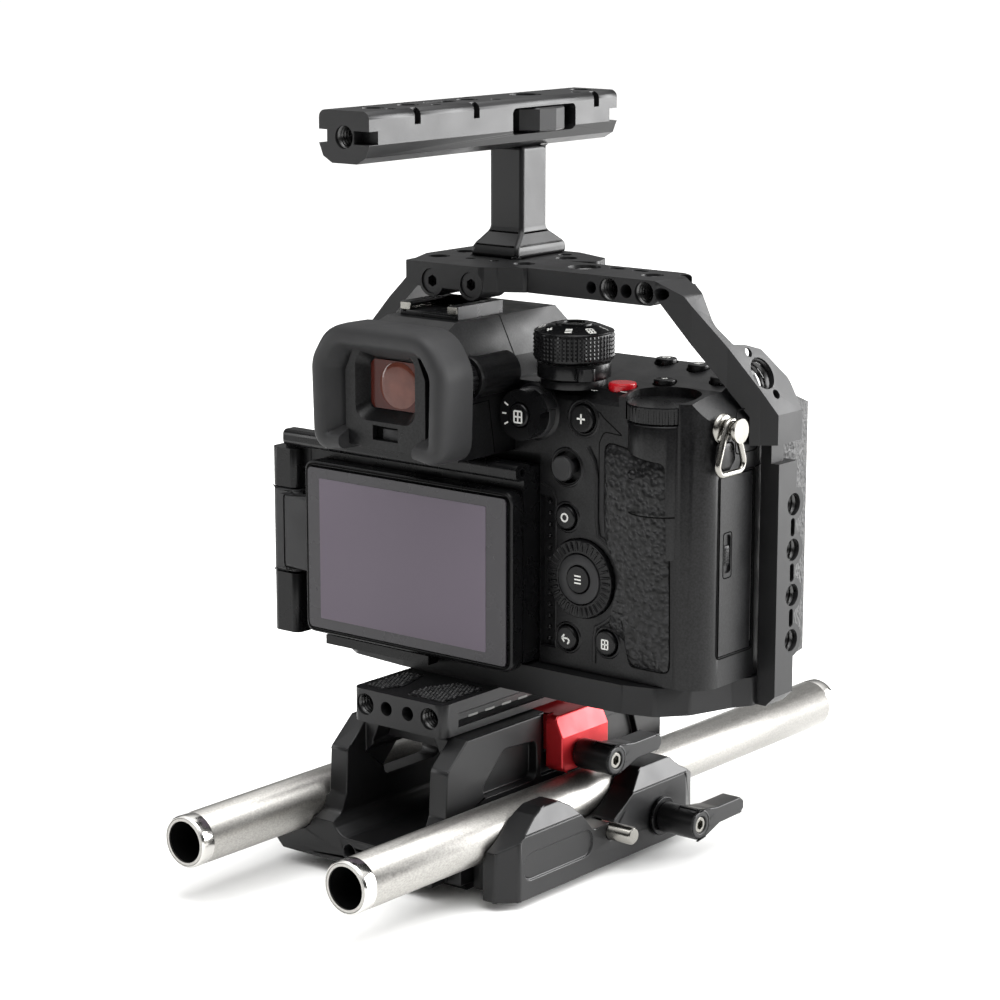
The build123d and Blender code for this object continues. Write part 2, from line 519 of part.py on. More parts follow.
def finder():
    body = finder_block()
    body -= prism([(112, 143), (122, 129), (122, 143)], "X", -20, 20)
    body -= prism([(61, 143), (61, 139.2), (70, 143)], "X", -20, 20)
    body -= y_rod(119.9, 131, 0, LENS_Z, LENS_R) + y_rod(108, 131, 0, LENS_Z, 22.0)
    eye = prism([(-14.6, 107.2), (14.6, 107.2), (14.6, 128), (10.5, 137.2), (-10.5, 137.2),
                 (-14.6, 128)], "Y", 52.0, 62.0, 2.0)
    well = loft([Plane((0, 51.9, 124.6), x_dir=(1, 0, 0), z_dir=(0, -1, 0)) * RectangleRounded(22, 20, 4),
                 Plane((0, 56.4, 124.6), x_dir=(1, 0, 0), z_dir=(0, -1, 0)) * RectangleRounded(17.4, 14, 3)])
    body += eye - well - block(-8.7, 8.7, 56.0, 58.0, 117.6, 131.6)
    body -= block(-4.6, 4.6, 51.0, 55.0, 109.4, 113.6)
    body += y_rod(66.6, 84.5, *DIOPTER, 5.8) + y_rod(66.6, 68.8, *DIOPTER, 6.2)
    body -= y_rod(61.2, 66.6, *DIOPTER, 6.0)
    body -= y_rod(61.2, 72.0, *DIOPTER, 1.5 + FIT)
    return body


def eyepiece_glass():
    return rounded(block(-8.6, 8.6, 56.1, 57.9, 117.7, 131.5), Axis.Y, 2.0)


def eyecup():
    outer = [(-21.5, 105.6), (21.5, 105.6), (24.6, 110), (23.4, 130), (16.5, 141.0), (-16.5, 141.0),
             (-23.4, 130), (-24.6, 110)]
    inner = [(-15.2, 103), (15.2, 103), (15.2, 128.5), (11.0, 137.8), (-11.0, 137.8), (-15.2, 128.5)]
    body = prism(outer, "Y", 47.6, 60.8, 3.5) - prism(inner, "Y", 46, 62, 2.0, inner[2:])
    bowl = [Plane((0, 47.4, 122.5), x_dir=(1, 0, 0), z_dir=(0, -1, 0)) * RectangleRounded(39, 31, 9),
            Plane((0, 52.4, 122.5), x_dir=(1, 0, 0), z_dir=(0, -1, 0)) * RectangleRounded(30.6, 27, 6)]
    return body - loft(bowl)


def hot_shoe():
    base = block(-10.6, 10.6, 71.0, 91.0, 142.0, 143.0)
    for side in (-1, 1):
        base += block(*sorted((side * 9.4, side * 10.6)), 71.0, 90.0, 143.0, 145.8)
        base += block(*sorted((side * 7.2, side * 10.6)), 71.0, 90.0, 145.0, 145.8)
    return base + block(-10.6, 10.6, 90.0, 91.0, 143.0, 145.8)


def grip():
    plan = [(46, 122), (50, 128), (54, 140), (60, 147), (74, 147), (81, 142), (83, 132), (83, 122)]
    body = prism(plan, "Z", BODY_Z0 + 1.5, 122.5, 3.0, plan[1:7])
    body -= prism([(121, 123.0), (128, 122.0), (150, 114.5), (150, 130), (121, 130)], "X", 40, 90)
    x, y = SHUTTER
    body += z_rod(112, 120.4, x, y, 8.6)
    body -= z_rod(115.5, 125, x, y, 4.8 + GAP)
    y, z = FRONT_DIAL
    body -= x_rod(57.6, 74.4, y, z, 6.8)
    body -= x_rod(55.0, 77.0, y, z, 1.5 + FIT)
    body -= block(45, 60, 118, 150, 118.5, 130) - z_rod(100, 130, *SHUTTER, 8.6)
    return body


def front_dial():
    y, z = FRONT_DIAL
    body = x_rod(58.0, 74.0, y, z, 6.4) + x_rod(55.3, 76.7, y, z, 1.5)
    return body


def lens_ring():
    body = ring((0, 120.0, LENS_Z), (0, 1, 0), LENS_R, 22.0, 4.6)
    for k in range(4):
        a = math.radians(45 + 90 * k)
        body -= y_rod(123.6, 125, 25.6 * math.cos(a), LENS_Z + 25.6 * math.sin(a), 1.3)
    return body


def body_cap():
    body = y_rod(125.0, 130.6, 0, LENS_Z, 28.4)
    body = fillet(body.edges().filter_by(GeomType.CIRCLE).sort_by(Axis.Y)[-1], 1.6)
    body += y_rod(117.0, 125.0, 0, LENS_Z, 22.0 - FIT)
    body -= y_rod(116.0, 123.0, 0, LENS_Z, 19.5)
    body -= ring((0, 129.8, LENS_Z), (0, 1, 0), 22.0, 20.8, 2)
    for k in range(28):
        a = 2 * math.pi * k / 28
        body -= y_rod(126.2, 132, 29.3 * math.cos(a), LENS_Z + 29.3 * math.sin(a), 1.5)
    return body


# ---------------------------------------------------------------- dials, levers and buttons
def notched(body, count, centre, radius, axis, a0, a1, depth):
    for k in range(count):
        a = 2 * math.pi * k / count
        u, v = centre[0] + radius * math.cos(a), centre[1] + radius * math.sin(a)
        if axis == "Z":
            body -= z_rod(a0, a1, u, v, depth)
        elif axis == "Y":
            body -= y_rod(a0, a1, u, v, depth)
        else:
            body -= x_rod(a0, a1, u, v, depth)
    return body


def mode_dial():
    x, y = MODE
    body = z_rod(131.0, 141.5, x, y, 11.4)
    body = chamfer(body.edges().filter_by(GeomType.CIRCLE).sort_by(Axis.Z)[-1], 0.8)
    body = notched(body, 36, MODE, 11.7, "Z", 130, 139.2, 0.55)
    return body + z_rod(113.0, 131.0, x, y, 2.5)


def mode_lever():
    x, y = MODE
    body = ring((x, y, 126.6), (0, 0, 1), 10.4, 2.5 + FIT, 4.0)
    tab = rounded(block(8.0, 14.4, -2.6, 2.6, 127.0, 130.4), Axis.Z, 1.4)
    return body + Pos(x, y, 0) * Rot(0, 0, -38) * tab


def thumb_dial():
    x, y = THUMB
    body = z_rod(117.8, 122.4, x, y, 10.0)
    body = notched(body, 40, THUMB, 10.25, "Z", 117, 121.6, 0.5)
    return body + z_rod(109.4, 117.8, x, y, 2.0)


def diopter_dial():
    body = y_rod(62.0, 66.0, *DIOPTER, 5.5)
    body = notched(body, 22, DIOPTER, 5.75, "Y", 61.0, 67.0, 0.45)
    return body + y_rod(66.0, 71.6, *DIOPTER, 1.5)


def rear_wheel():
    x, z = REAR
    body = ring((x, BODY_Y0 - 1.6, z), (0, 1, 0), 11.2, 3.7 + GAP, 3.8)
    body -= ring((x, BODY_Y0 - 2, z), (0, 1, 0), 7.4, 7.0, 0.8)
    return body


def set_button():
    x, z = REAR
    return y_rod(BODY_Y0 - 2.2, BODY_Y0 + 1.4, x, z, 3.7) + y_rod(BODY_Y0 + 1.4, BODY_Y0 + 5.2, x, z, 2.0)


def top_button(x, y, r):
    z = deck_z(y)
    body = z_rod(z - 2.2, z + 1.3, x, y, r)
    return fillet(body.edges().filter_by(GeomType.CIRCLE).sort_by(Axis.Z)[-1], 0.6)


def rear_button(x, z, r):
    body = y_rod(BODY_Y0 - 1.2, BODY_Y0 + 2.2, x, z, r)
    return fillet(body.edges().filter_by(GeomType.CIRCLE).sort_by(Axis.Y)[0], 0.6)


def shutter():
    x, y = SHUTTER
    body = z_rod(117.0, 121.4, x, y, 4.8)
    return fillet(body.edges().filter_by(GeomType.CIRCLE).sort_by(Axis.Z)[-1], 1.0)


def af_lever():
    x, z = AF
    body = ring((x, 79.0, z), (0, 1, 0), 7.2, 3.3 + GAP, BODY_Y0 - GAP - 79.0)
    tab = Pos(x, 0, z) * Rot(0, -28, 0) * block(5.5, 10.2, 79.0, 83.0, -2.4, 2.4)
    body += tab
    body -= y_rod(78, BODY_Y0, x, z, 3.3 + GAP)
    back = ring((x, 84.2, z), (0, 1, 0), 6.0, 2.0, BODY_Y0 - GAP - 84.2)
    return body + back + ring((x, BODY_Y0 - GAP, z), (0, 1, 0), 2.5, 1.5 + GAP, 6.0)


def af_button():
    x, z = AF
    body = y_rod(78.2, 83.2, x, z, 3.3)
    body = fillet(body.edges().filter_by(GeomType.CIRCLE).sort_by(Axis.Y)[0], 0.6)
    return body + y_rod(83.2, 90.0, x, z, 1.2)


def joystick():
    x, z = STICK
    body = y_rod(83.6, 85.4, x, z, 3.5) + y_rod(85.4, 89.2, x, z, 2.0)
    return chamfer(body.edges().filter_by(GeomType.CIRCLE).sort_by(Axis.Y)[0], 0.4)


def card_door():
    d, x1 = DOOR, BODY_X1
    body = block(x1 - 1.5, x1 + 0.2, d["y0"] + 0.4, d["y1"] - 1.2, d["z0"] + 0.4, d["z1"] - 0.4)
    body -= rounded(block(x1 - 0.5, x1 + 1, 97.4, 100.6, 75.6, 86.4), Axis.X, 1.0)
    hinge = z_rod(d["z0"] + 2, d["z1"] - 2, x1 - 0.65, d["y1"] - 1.2, 0.85)
    return body + hinge


def strap_lugs():
    y, z = LUG
    out = x_rod(BODY_X1 - 5.6, 88.4, y, z, 1.6) + x_rod(88.4, 89.6, y, z, 3.4)
    out += x_rod(BODY_X1, BODY_X1 + 0.6, y, z, 4.2)
    out += x_rod(-58.6, BODY_X0 + 5.6, *LEFT_LUG, 1.6) + x_rod(-59.6, -58.6, *LEFT_LUG, 3.0)
    return out


def strap_ring():
    """Triangular wire ring hanging on the right lug; its top bend runs round the lug's pin."""
    y, z = LUG
    x, r = 86.2, 0.9
    line = FilletPolyline((0.0, 7.3), (7.2, -12.0), (-7.2, -12.0), radius=2.55, close=True)
    path = Plane((x, y, z), x_dir=(0, 1, 0), z_dir=(1, 0, 0)) * line
    start = path @ 0
    section = Plane(origin=start, z_dir=path % 0) * Circle(r)
    return sweep(section, path)


# ---------------------------------------------------------------- screen
HINGE, HINGE_R = (-61.2, 80.8), 7.0  # vertical pin of the swing-out screen, clear radius
HINGE_Z = (40.0, 58.2, 84.6, 96.4)   # knuckles: fixed, moving between the middle two, fixed


def knuckle(z0, z1):
    x, y = HINGE
    return rounded(block(x - 5.8, x + 4.4, y - 4.4, y + 4.4, z0, z1), Axis.Z, 2.4)


def tilt_bracket():
    """Frame behind the screen; it turns about the bar at its top."""
    x0, x1 = -57.0, 26.8
    a, b, c, d = HINGE_Z
    body = block(x0, x1, 80.2, BODY_Y0 + 1.9 - GAP, 44.2, 100.6)
    body -= block(x0 + 9, x1 - 6, 79, 82.6, 48.0, 94.0)
    body += rounded(block(-62.0, x1, 76.6, 83.0, 97.2, 102.0), Axis.X, 1.6)
    body += knuckle(a, b) + knuckle(c, d) + block(-64.0, -54.0, 80.0, 85.2, c, 97.6)
    body += block(-60.0, -54.0, 80.2, 85.2, 44.2, b)
    body += block(-46.0, -6.0, 77.0, 81.3, 38.6, 41.4) + block(-46.0, -6.0, 80.2, 81.3, 38.6, 45.0)
    body -= z_rod(b, c, *HINGE, HINGE_R) + z_rod(a + 1, d - 1, *HINGE, 1.5 + FIT)
    body -= x_rod(x1 - 5, x1 + 1, 79.8, 99.6, 1.2)
    return body - block(LCD["x0"] - 2.6, LCD["x1"] + 3, 70, LCD["y1"] + GAP, LCD["z0"] - 0.6,
                        LCD["z1"] + 0.6)


def screen_hinge():
    x, y = HINGE
    a, b, c, d = HINGE_Z
    body = knuckle(b + GAP, c - GAP) + z_rod(a + 1.4, d - 1.4, x, y, 1.5)
    return body + rounded(block(x, LCD["x0"] + 2.0, 75.4, 79.4, 60.0, 82.8), Axis.X, 1.2)


def screen_panel():
    d = LCD
    body = rounded(block(d["x0"], d["x1"], d["y0"] + 0.6, d["y1"], d["z0"], d["z1"]), Axis.Y, 3.0)
    body -= block(d["x0"] + 1.6, d["x1"] - 1.6, d["y0"], d["y0"] + 1.0, d["z0"] + 1.6, d["z1"] - 1.6)
    return body - block(d["x0"] - 1, d["x0"] + 2.0, 75.4, 79.4, 60.0, 82.8)


def screen_glass():
    d = LCD
    return rounded(block(d["x0"] + 1.8, d["x1"] - 1.8, d["y0"], d["y0"] + 1.0, d["z0"] + 1.8,
                         d["z1"] - 1.8), Axis.Y, 1.4)


# ---------------------------------------------------------------- write every node
NODES = {
    "riser_body": riser, "dovetail_shoe": shoe, "left_rod_clamp": left_clamp,
    "base_screws": base_screws,
    "left_rod": lambda: tube(-1), "right_rod": lambda: tube(1),
    "right_clamp_arm": right_arm,
    "lever_washer": lambda: ring((ARM_X + GAP, 121.0, -7.5), (1, 0, 0), 5.8, 2.5, 1.1),
    "arm_lever": lambda: lever(ARM_X + GAP + 1.1, 121.0, -7.5),
    "arm_lever_screw": lambda: lever_screw(37.8, ARM_X + GAP + 1.1 + LEVER_L - 0.4, 121.0, -7.5),
    "release_pin": lambda: chamfer(x_rod(42.6, 54.0, 97.0, -6.0, 2.6).edges().sort_by(Axis.X)[-1], 0.5),
    "clamp_jaw": jaw,
    "jaw_lever": lambda: lever(JAW_X + GAP, 104.5, 12.5),
    "jaw_lever_screw": lambda: lever_screw(24.0, JAW_X + GAP + LEVER_L - 0.4, 104.5, 12.5),
    "quick_plate": quick_plate, "plate_pads": lambda: Compound(children=pads(0.3)),
    "cage_base": cage_base, "cage_side": cage_side, "cage_top": cage_top, "cage_left": cage_left,
    "cage_screws": cage_screws, "handle_post": handle_post, "handle_bar": handle_bar,
    "handle_wheel": handle_wheel,
    "camera_body": camera_body, "camera_grip": grip, "viewfinder_housing": finder,
    "eyecup": eyecup, "eyepiece_glass": eyepiece_glass, "hot_shoe": hot_shoe,
    "thumb_rubber": thumb_rubber, "lens_mount_ring": lens_ring, "body_cap": body_cap,
    "mode_dial": mode_dial, "mode_dial_lever": mode_lever, "thumb_dial": thumb_dial,
    "front_dial": front_dial, "diopter_dial": diopter_dial, "rear_wheel": rear_wheel,
    "set_button": set_button, "shutter_button": shutter, "af_lever": af_lever,
    "af_button": af_button, "joystick": joystick, "card_door": card_door,
    "strap_lugs": strap_lugs, "strap_ring": strap_ring,
    "tilt_bracket": tilt_bracket, "screen_hinge": screen_hinge, "screen_panel": screen_panel,
    "screen_glass": screen_glass,
}
for name, x, y, r in TOP_BUTTONS:
    NODES[name] = lambda x=x, y=y, r=r: top_button(x, y, r)
for name, x, z, r in REAR_BUTTONS:
    NODES[name] = lambda x=x, z=z, r=r: rear_button(x, z, r)

for node, make in NODES.items():
    save(make(), node)
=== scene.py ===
"""Looks of a cinema camera rig: a mirrorless camera in a cage on a rod-mounted riser.

Everything is written in drawing millimetres, rod axes at z 0 and the rods' rear ends at y 0, and
place() turns that into the packed frame's metres.
"""
import json
import math

import bpy
from mathutils import Vector
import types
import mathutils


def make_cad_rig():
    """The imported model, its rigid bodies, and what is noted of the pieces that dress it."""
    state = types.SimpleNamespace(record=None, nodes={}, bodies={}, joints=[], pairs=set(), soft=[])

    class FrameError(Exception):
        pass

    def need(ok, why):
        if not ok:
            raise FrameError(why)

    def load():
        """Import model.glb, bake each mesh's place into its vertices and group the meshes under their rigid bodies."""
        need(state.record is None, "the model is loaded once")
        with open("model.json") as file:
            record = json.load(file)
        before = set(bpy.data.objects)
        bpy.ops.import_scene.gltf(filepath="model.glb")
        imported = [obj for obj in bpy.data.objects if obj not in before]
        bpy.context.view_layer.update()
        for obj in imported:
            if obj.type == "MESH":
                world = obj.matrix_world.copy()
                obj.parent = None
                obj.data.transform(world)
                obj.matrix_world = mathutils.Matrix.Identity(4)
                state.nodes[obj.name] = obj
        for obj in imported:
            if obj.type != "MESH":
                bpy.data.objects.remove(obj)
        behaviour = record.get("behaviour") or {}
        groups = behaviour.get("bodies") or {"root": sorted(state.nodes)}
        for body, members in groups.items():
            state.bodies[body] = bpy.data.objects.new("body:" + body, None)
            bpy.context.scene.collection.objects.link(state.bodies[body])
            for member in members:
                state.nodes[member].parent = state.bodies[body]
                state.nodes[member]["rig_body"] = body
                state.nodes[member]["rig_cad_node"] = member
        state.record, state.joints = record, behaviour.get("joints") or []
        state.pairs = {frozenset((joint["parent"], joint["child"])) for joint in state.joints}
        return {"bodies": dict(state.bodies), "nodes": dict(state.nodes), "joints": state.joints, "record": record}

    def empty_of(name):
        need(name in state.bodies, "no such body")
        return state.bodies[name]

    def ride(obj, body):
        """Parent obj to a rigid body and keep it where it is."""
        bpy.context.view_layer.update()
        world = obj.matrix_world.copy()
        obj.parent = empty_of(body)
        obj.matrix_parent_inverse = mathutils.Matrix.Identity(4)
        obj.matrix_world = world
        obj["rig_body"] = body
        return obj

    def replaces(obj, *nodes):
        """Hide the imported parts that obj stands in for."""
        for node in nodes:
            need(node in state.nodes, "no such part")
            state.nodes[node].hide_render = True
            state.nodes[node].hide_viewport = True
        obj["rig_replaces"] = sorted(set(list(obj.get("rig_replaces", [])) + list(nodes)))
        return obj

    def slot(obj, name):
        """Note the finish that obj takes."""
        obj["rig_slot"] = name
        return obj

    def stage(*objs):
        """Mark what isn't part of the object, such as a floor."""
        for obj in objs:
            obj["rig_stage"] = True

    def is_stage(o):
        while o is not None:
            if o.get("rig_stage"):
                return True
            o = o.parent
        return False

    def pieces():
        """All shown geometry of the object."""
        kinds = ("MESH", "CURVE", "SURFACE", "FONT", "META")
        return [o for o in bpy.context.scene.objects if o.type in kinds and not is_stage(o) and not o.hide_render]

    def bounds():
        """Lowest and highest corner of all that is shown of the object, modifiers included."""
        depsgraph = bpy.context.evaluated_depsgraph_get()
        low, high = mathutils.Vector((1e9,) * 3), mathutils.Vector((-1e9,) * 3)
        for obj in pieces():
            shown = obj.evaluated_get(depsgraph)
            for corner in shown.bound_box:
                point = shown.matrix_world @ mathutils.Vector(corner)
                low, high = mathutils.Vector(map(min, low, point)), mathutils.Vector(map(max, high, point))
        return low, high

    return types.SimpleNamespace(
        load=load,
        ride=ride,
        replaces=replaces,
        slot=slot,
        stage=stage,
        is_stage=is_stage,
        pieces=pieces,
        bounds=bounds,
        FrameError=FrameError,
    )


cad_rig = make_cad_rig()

bl_info = {
    "name": "Cinema camera rig looks",
    "version": (1, 0, 0),
    "blender": (4, 5, 0),
    "location": "View3D > Sidebar > Rig",
    "description": "Builds the visual model of the camera rig round its CAD frame",
    "category": "Object",
}

SHIFT = Vector((0.0, -95.0, 18.0))      # drawing frame to packed frame, mm
BACK_Y = 86.5                           # the shell's flat back
SIDE_X = 83.05                          # outer face of the pieces on the shell's right side
MODE_X, MODE_Y = 35.3, 92.0             # mode dial's axis
THUMB_X, THUMB_Y = 66.2, 92.0           # thumb dial's axis
WHEEL_X, WHEEL_Z = 42.8, 70.3           # rear wheel's axis
DRUM_X, DRUM_Z = 26.2, 116.0            # focus drum's axis
QUARTER = (3.175, 1.27)                 # radius and pitch of a 1/4-20 thread
THREE_EIGHTHS = (4.7625, 1.5875)        # radius and pitch of a 3/8-16 thread
BACKWARDS, FORWARDS = (0, -1, 0), (0, 1, 0)
DOWNWARDS, UPWARDS, RIGHTWARDS = (0, 0, -1), (0, 0, 1), (1, 0, 0)
FRAME, MATS = {}, {}


def place(p):
    """A drawing point in millimetres as a packed-frame point in metres."""
    return (Vector(p) + SHIFT) / 1000.0


# ------------------------------------------------------------------ mesh helpers
def mesh_piece(name, verts, faces, material, body, smooth=True, bevel=0.0, segments=2, angle=35):
    """A mesh from drawing-frame millimetres, riding on a CAD body."""
    mesh = bpy.data.meshes.new(name)
    mesh.from_pydata([place(v) for v in verts], [], faces)
    mesh.validate()
    obj = bpy.data.objects.new(name, mesh)
    bpy.context.scene.collection.objects.link(obj)
    mesh.materials.append(MATS[material])
    mesh.polygons.foreach_set("use_smooth", [smooth] * len(mesh.polygons))
    if bevel:
        add_bevel(obj, bevel, segments, angle)
    elif smooth:
        mesh.set_sharp_from_angle(angle=math.radians(angle))
    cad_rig.ride(obj, body)
    return obj


def add_bevel(obj, width, segments=2, angle=35):
    """Rounds the edges that turn by more than an angle."""
    bev = obj.modifiers.new("edge", "BEVEL")
    bev.width, bev.segments = width / 1000.0, segments
    bev.limit_method, bev.angle_limit = "ANGLE", math.radians(angle)
    bev.harden_normals, bev.miter_outer = True, "MITER_ARC"
    return bev


def frame_of(direction):
    """Two unit vectors square to a direction."""
    d = Vector(direction).normalized()
    side = Vector(UPWARDS) if abs(d.z) < 0.9 else Vector(FORWARDS)
    a = side.cross(d).normalized()
    return a, d.cross(a), d


def loft_mesh(rings, close_start=True, close_end=True):
    """Faces between rings of equal length, with caps."""
    n = len(rings[0])
    verts = [p for r in rings for p in r]
    faces = []
    for k in range(len(rings) - 1):
        for i in range(n):
            a, b = k * n + i, k * n + (i + 1) % n
            faces.append((a, b, b + n, a + n))
    if close_start:
        faces.append(tuple(reversed(range(n))))
    if close_end:
        faces.append(tuple(range((len(rings) - 1) * n, len(rings) * n)))
    return verts, faces


def lathe_mesh(profile, centre, axis, steps=64, closed=True, wave=None):
    """A profile of (radius, height) turned round an axis. wave(angle, k) adds to the radius."""
    a, b, d = frame_of(axis)
    c = Vector(centre)
    rings = []
    for k, (r, h) in enumerate(profile):
        ring = []
        for i in range(steps):
            t = 2 * math.pi * i / steps
            rr = r + (wave(t, k) if wave else 0.0)
            ring.append(c + d * h + a * (rr * math.cos(t)) + b * (rr * math.sin(t)))
        rings.append(ring)
    return loft_mesh(rings, closed, closed)


def join(parts):
    """Several (verts, faces) pairs as one."""
    verts, faces = [], []
    for v, f in parts:
        base = len(verts)
        verts += list(v)
        faces += [tuple(base + i for i in q) for q in f]
    return verts, faces


def rounded_rect(w, h, r, per=6):
    """Corner-rounded rectangle outline, counter-clockwise, centred on nothing."""
    r = min(r, w / 2 - 0.01, h / 2 - 0.01)
    out = []
    for cx, cy, a0 in ((w / 2 - r, h / 2 - r, 0), (-w / 2 + r, h / 2 - r, 90),
                       (-w / 2 + r, -h / 2 + r, 180), (w / 2 - r, -h / 2 + r, 270)):
        for k in range(per + 1):
            t = math.radians(a0 + 90 * k / per)
            out.append((cx + r * math.cos(t), cy + r * math.sin(t)))
    return out


def slab_mesh(outline, axis, a0, a1, edge=0.0, steps=3):
    """An outline pushed along an axis, its far rim rounded by edge."""
    def at(p, a, inset):
        cx = sum(q[0] for q in outline) / len(outline)
        cy = sum(q[1] for q in outline) / len(outline)
        u, v = p[0] - cx, p[1] - cy
        length = math.hypot(u, v) or 1.0
        u, v = p[0] - u / length * inset, p[1] - v / length * inset
        return {"X": (a, u, v), "Y": (u, a, v), "Z": (u, v, a)}[axis]
    sign = 1 if a1 > a0 else -1
    rings = [[at(p, a0, 0) for p in outline]]
    for k in range(steps + 1):
        t = math.pi / 2 * k / steps
        rings.append([at(p, a1 - sign * edge * (1 - math.sin(t)), edge * (1 - math.cos(t)))
                      for p in outline])
    return loft_mesh(rings)


def helix_mesh(mouth, axis, radius, depth, pitch, turns_from=0.25):
    """The ridge of an internal thread: mouth on the face, axis pointing out of the hole."""
    a, b, d = frame_of(axis)
    c, crest = Vector(mouth), radius - 0.58 * pitch
    per, verts, faces = 20, [], []
    turns = max(1.0, depth / pitch - turns_from - 0.8)
    count = int(turns * per) + 1
    for i in range(count):
        t = 2 * math.pi * i / per
        h = -turns_from * pitch - pitch * i / per
        fade = min(1.0, i / 6, (count - 1 - i) / 6)
        rim = radius - (radius - crest) * fade
        for r, dh in ((radius - 0.02, 0.0), (rim, -0.42 * pitch), (rim, -0.55 * pitch),
                      (radius - 0.02, -0.97 * pitch)):
            verts.append(c + d * (h + dh) + a * (r * math.cos(t)) + b * (r * math.sin(t)))
    for i in range(count - 1):
        for k in range(3):
            p = i * 4 + k
            faces.append((p, p + 1, p + 5, p + 4))
    return verts, faces


def tube_mesh(path, radius, closed=False, steps=12):
    """A round tube along a list of points."""
    pts = [Vector(p) for p in path]
    n, rings = len(pts), []
    normal = None
    for i, p in enumerate(pts):
        nxt = pts[(i + 1) % n] if closed or i < n - 1 else p
        prv = pts[i - 1] if closed or i else p
        d = (nxt - prv).normalized()
        if normal is None:
            normal = frame_of(d)[0]
        normal = (normal - d * normal.dot(d)).normalized()
        side = d.cross(normal)
        rings.append([p + normal * (radius * math.cos(2 * math.pi * k / steps))
                      + side * (radius * math.sin(2 * math.pi * k / steps)) for k in range(steps)])
    if closed:
        v, f = loft_mesh(rings, False, False)
        m = len(rings) - 1
        for k in range(steps):
            q = (k + 1) % steps
            f.append((m * steps + k, m * steps + q, q, k))
        return v, f
    return loft_mesh(rings)


def ribbon(path, normal, width, lift=0.03, closed=False):
    """A thin flat strip along a path on a face."""
    pts, n = [Vector(q) for q in path], Vector(normal).normalized()
    count, verts, faces = len(pts), [], []
    for i, q in enumerate(pts):
        nxt = pts[(i + 1) % count] if closed or i < count - 1 else q
        prv = pts[i - 1] if closed or i else q
        side = (nxt - prv).normalized().cross(n).normalized() * (width / 2)
        verts += [q - side + n * lift, q + side + n * lift, q + side - n * 0.05, q - side - n * 0.05]
    for i in range(count if closed else count - 1):
        a, b = 4 * i, 4 * ((i + 1) % count)
        faces += [(a + k, a + (k + 1) % 4, b + (k + 1) % 4, b + k) for k in range(4)]
    return verts, faces


def corner_path(points, radius, per=5, closed=True):
    """Points along a polygon whose corners are quadratic curves, for one radius or a list of them."""
    n, out = len(points), []
    radii = radius if isinstance(radius, (list, tuple)) else [radius] * n
    for i, q in enumerate(points):
        q = Vector(q)
        if not closed and i in (0, n - 1):
            out.append(q)
            continue
        a, b = (Vector(points[i - 1]) - q), (Vector(points[(i + 1) % n]) - q)
        half = a.angle(b) / 2
        reach = min(radii[i] / math.tan(half), a.length * 0.48, b.length * 0.48)
        p0, p1 = q + a.normalized() * reach, q + b.normalized() * reach
        for k in range(per + 1):
            t = k / per
            out.append(p0 * (1 - t) ** 2 + q * (2 * t * (1 - t)) + p1 * t ** 2)
    return out


def lift_y(path, y):
    """(x, z) points as points in the plane of one y."""
    return [(q[0], y, q[1]) for q in path]


def dome_mesh(outline, y0, rise, steps=7, power=2.0):
    """A cushion-shaped skin over an outline in the XZ plane, rising towards -Y."""
    cx = sum(q[0] for q in outline) / len(outline)
    cz = sum(q[1] for q in outline) / len(outline)
    rings = [[(q[0], y0 + 1.0, q[1]) for q in outline]]
    for k in range(steps + 1):
        f = 1 - (k / steps) ** 1.6 * 0.97
        up = rise * (1 - f ** power) ** 0.5 if f < 1 else 0.0
        rings.append([(cx + (q[0] - cx) * f, y0 - up, cz + (q[1] - cz) * f) for q in outline])
    return loft_mesh(rings, False, True)


def ring_strokes(sides=8):
    """The chords of a small circle in the middle of the figure grid."""
    at = [(math.cos(a) + 1, 1.5 + math.sin(a)) for a in (2 * math.pi * k / sides for k in range(sides))]
    return list(zip(at, at[1:] + at[:1]))


# strokes of plain digits and signs on a 2 by 3 grid
SIGNS = {
    "1": [((0.5, 0), (0.5, 3))],
    "2": [((0, 3), (2, 3)), ((2, 3), (2, 1.5)), ((2, 1.5), (0, 1.5)), ((0, 1.5), (0, 0)), ((0, 0), (2, 0))],
    "3": [((0, 3), (2, 3)), ((2, 3), (2, 0)), ((2, 0), (0, 0)), ((0.4, 1.5), (2, 1.5))],
    "4": [((0, 3), (0, 1.5)), ((0, 1.5), (2, 1.5)), ((2, 3), (2, 0))],
    "box": [((0, 0), (2, 0)), ((2, 0), (2, 2.4)), ((2, 2.4), (0, 2.4)), ((0, 2.4), (0, 0)),
            ((1, 0), (1, 2.4)), ((0, 1.2), (2, 1.2))],
    "bar": [((0, 1.5), (2, 1.5))],
    "ring": ring_strokes(),
    "back": [((0, 1.5), (1.6, 1.5)), ((0, 1.5), (0.7, 2.3)), ((0, 1.5), (0.7, 0.7)),
             ((1.6, 1.5), (2, 1.0)), ((2, 1.0), (1.5, 0.3))],
    "lines": [((0, 2.4), (2, 2.4)), ((0, 1.5), (2, 1.5)), ((0, 0.6), (2, 0.6))],
    "plus": [((1, 0.5), (1, 2.5)), ((0, 1.5), (2, 1.5))],
}


def sign_mesh(sign, centre, right, up, size, width=0.32):
    """One stroke figure lying on a face, size being its height."""
    r, u, c = Vector(right).normalized(), Vector(up).normalized(), Vector(centre)
    n, k = r.cross(u), size / 3
    return join([ribbon([c + r * ((x - 1) * k) + u * ((y - 1.5) * k) for x, y in line], n, width)
                 for line in SIGNS[sign]])


# ------------------------------------------------------------------ materials
def linear(hex_colour):
    """An sRGB hex string as linear RGBA."""
    out = []
    for k in (0, 2, 4):
        c = int(hex_colour[k:k + 2], 16) / 255
        out.append(c / 12.92 if c <= 0.04045 else ((c + 0.055) / 1.055) ** 2.4)
    return (*out, 1.0)


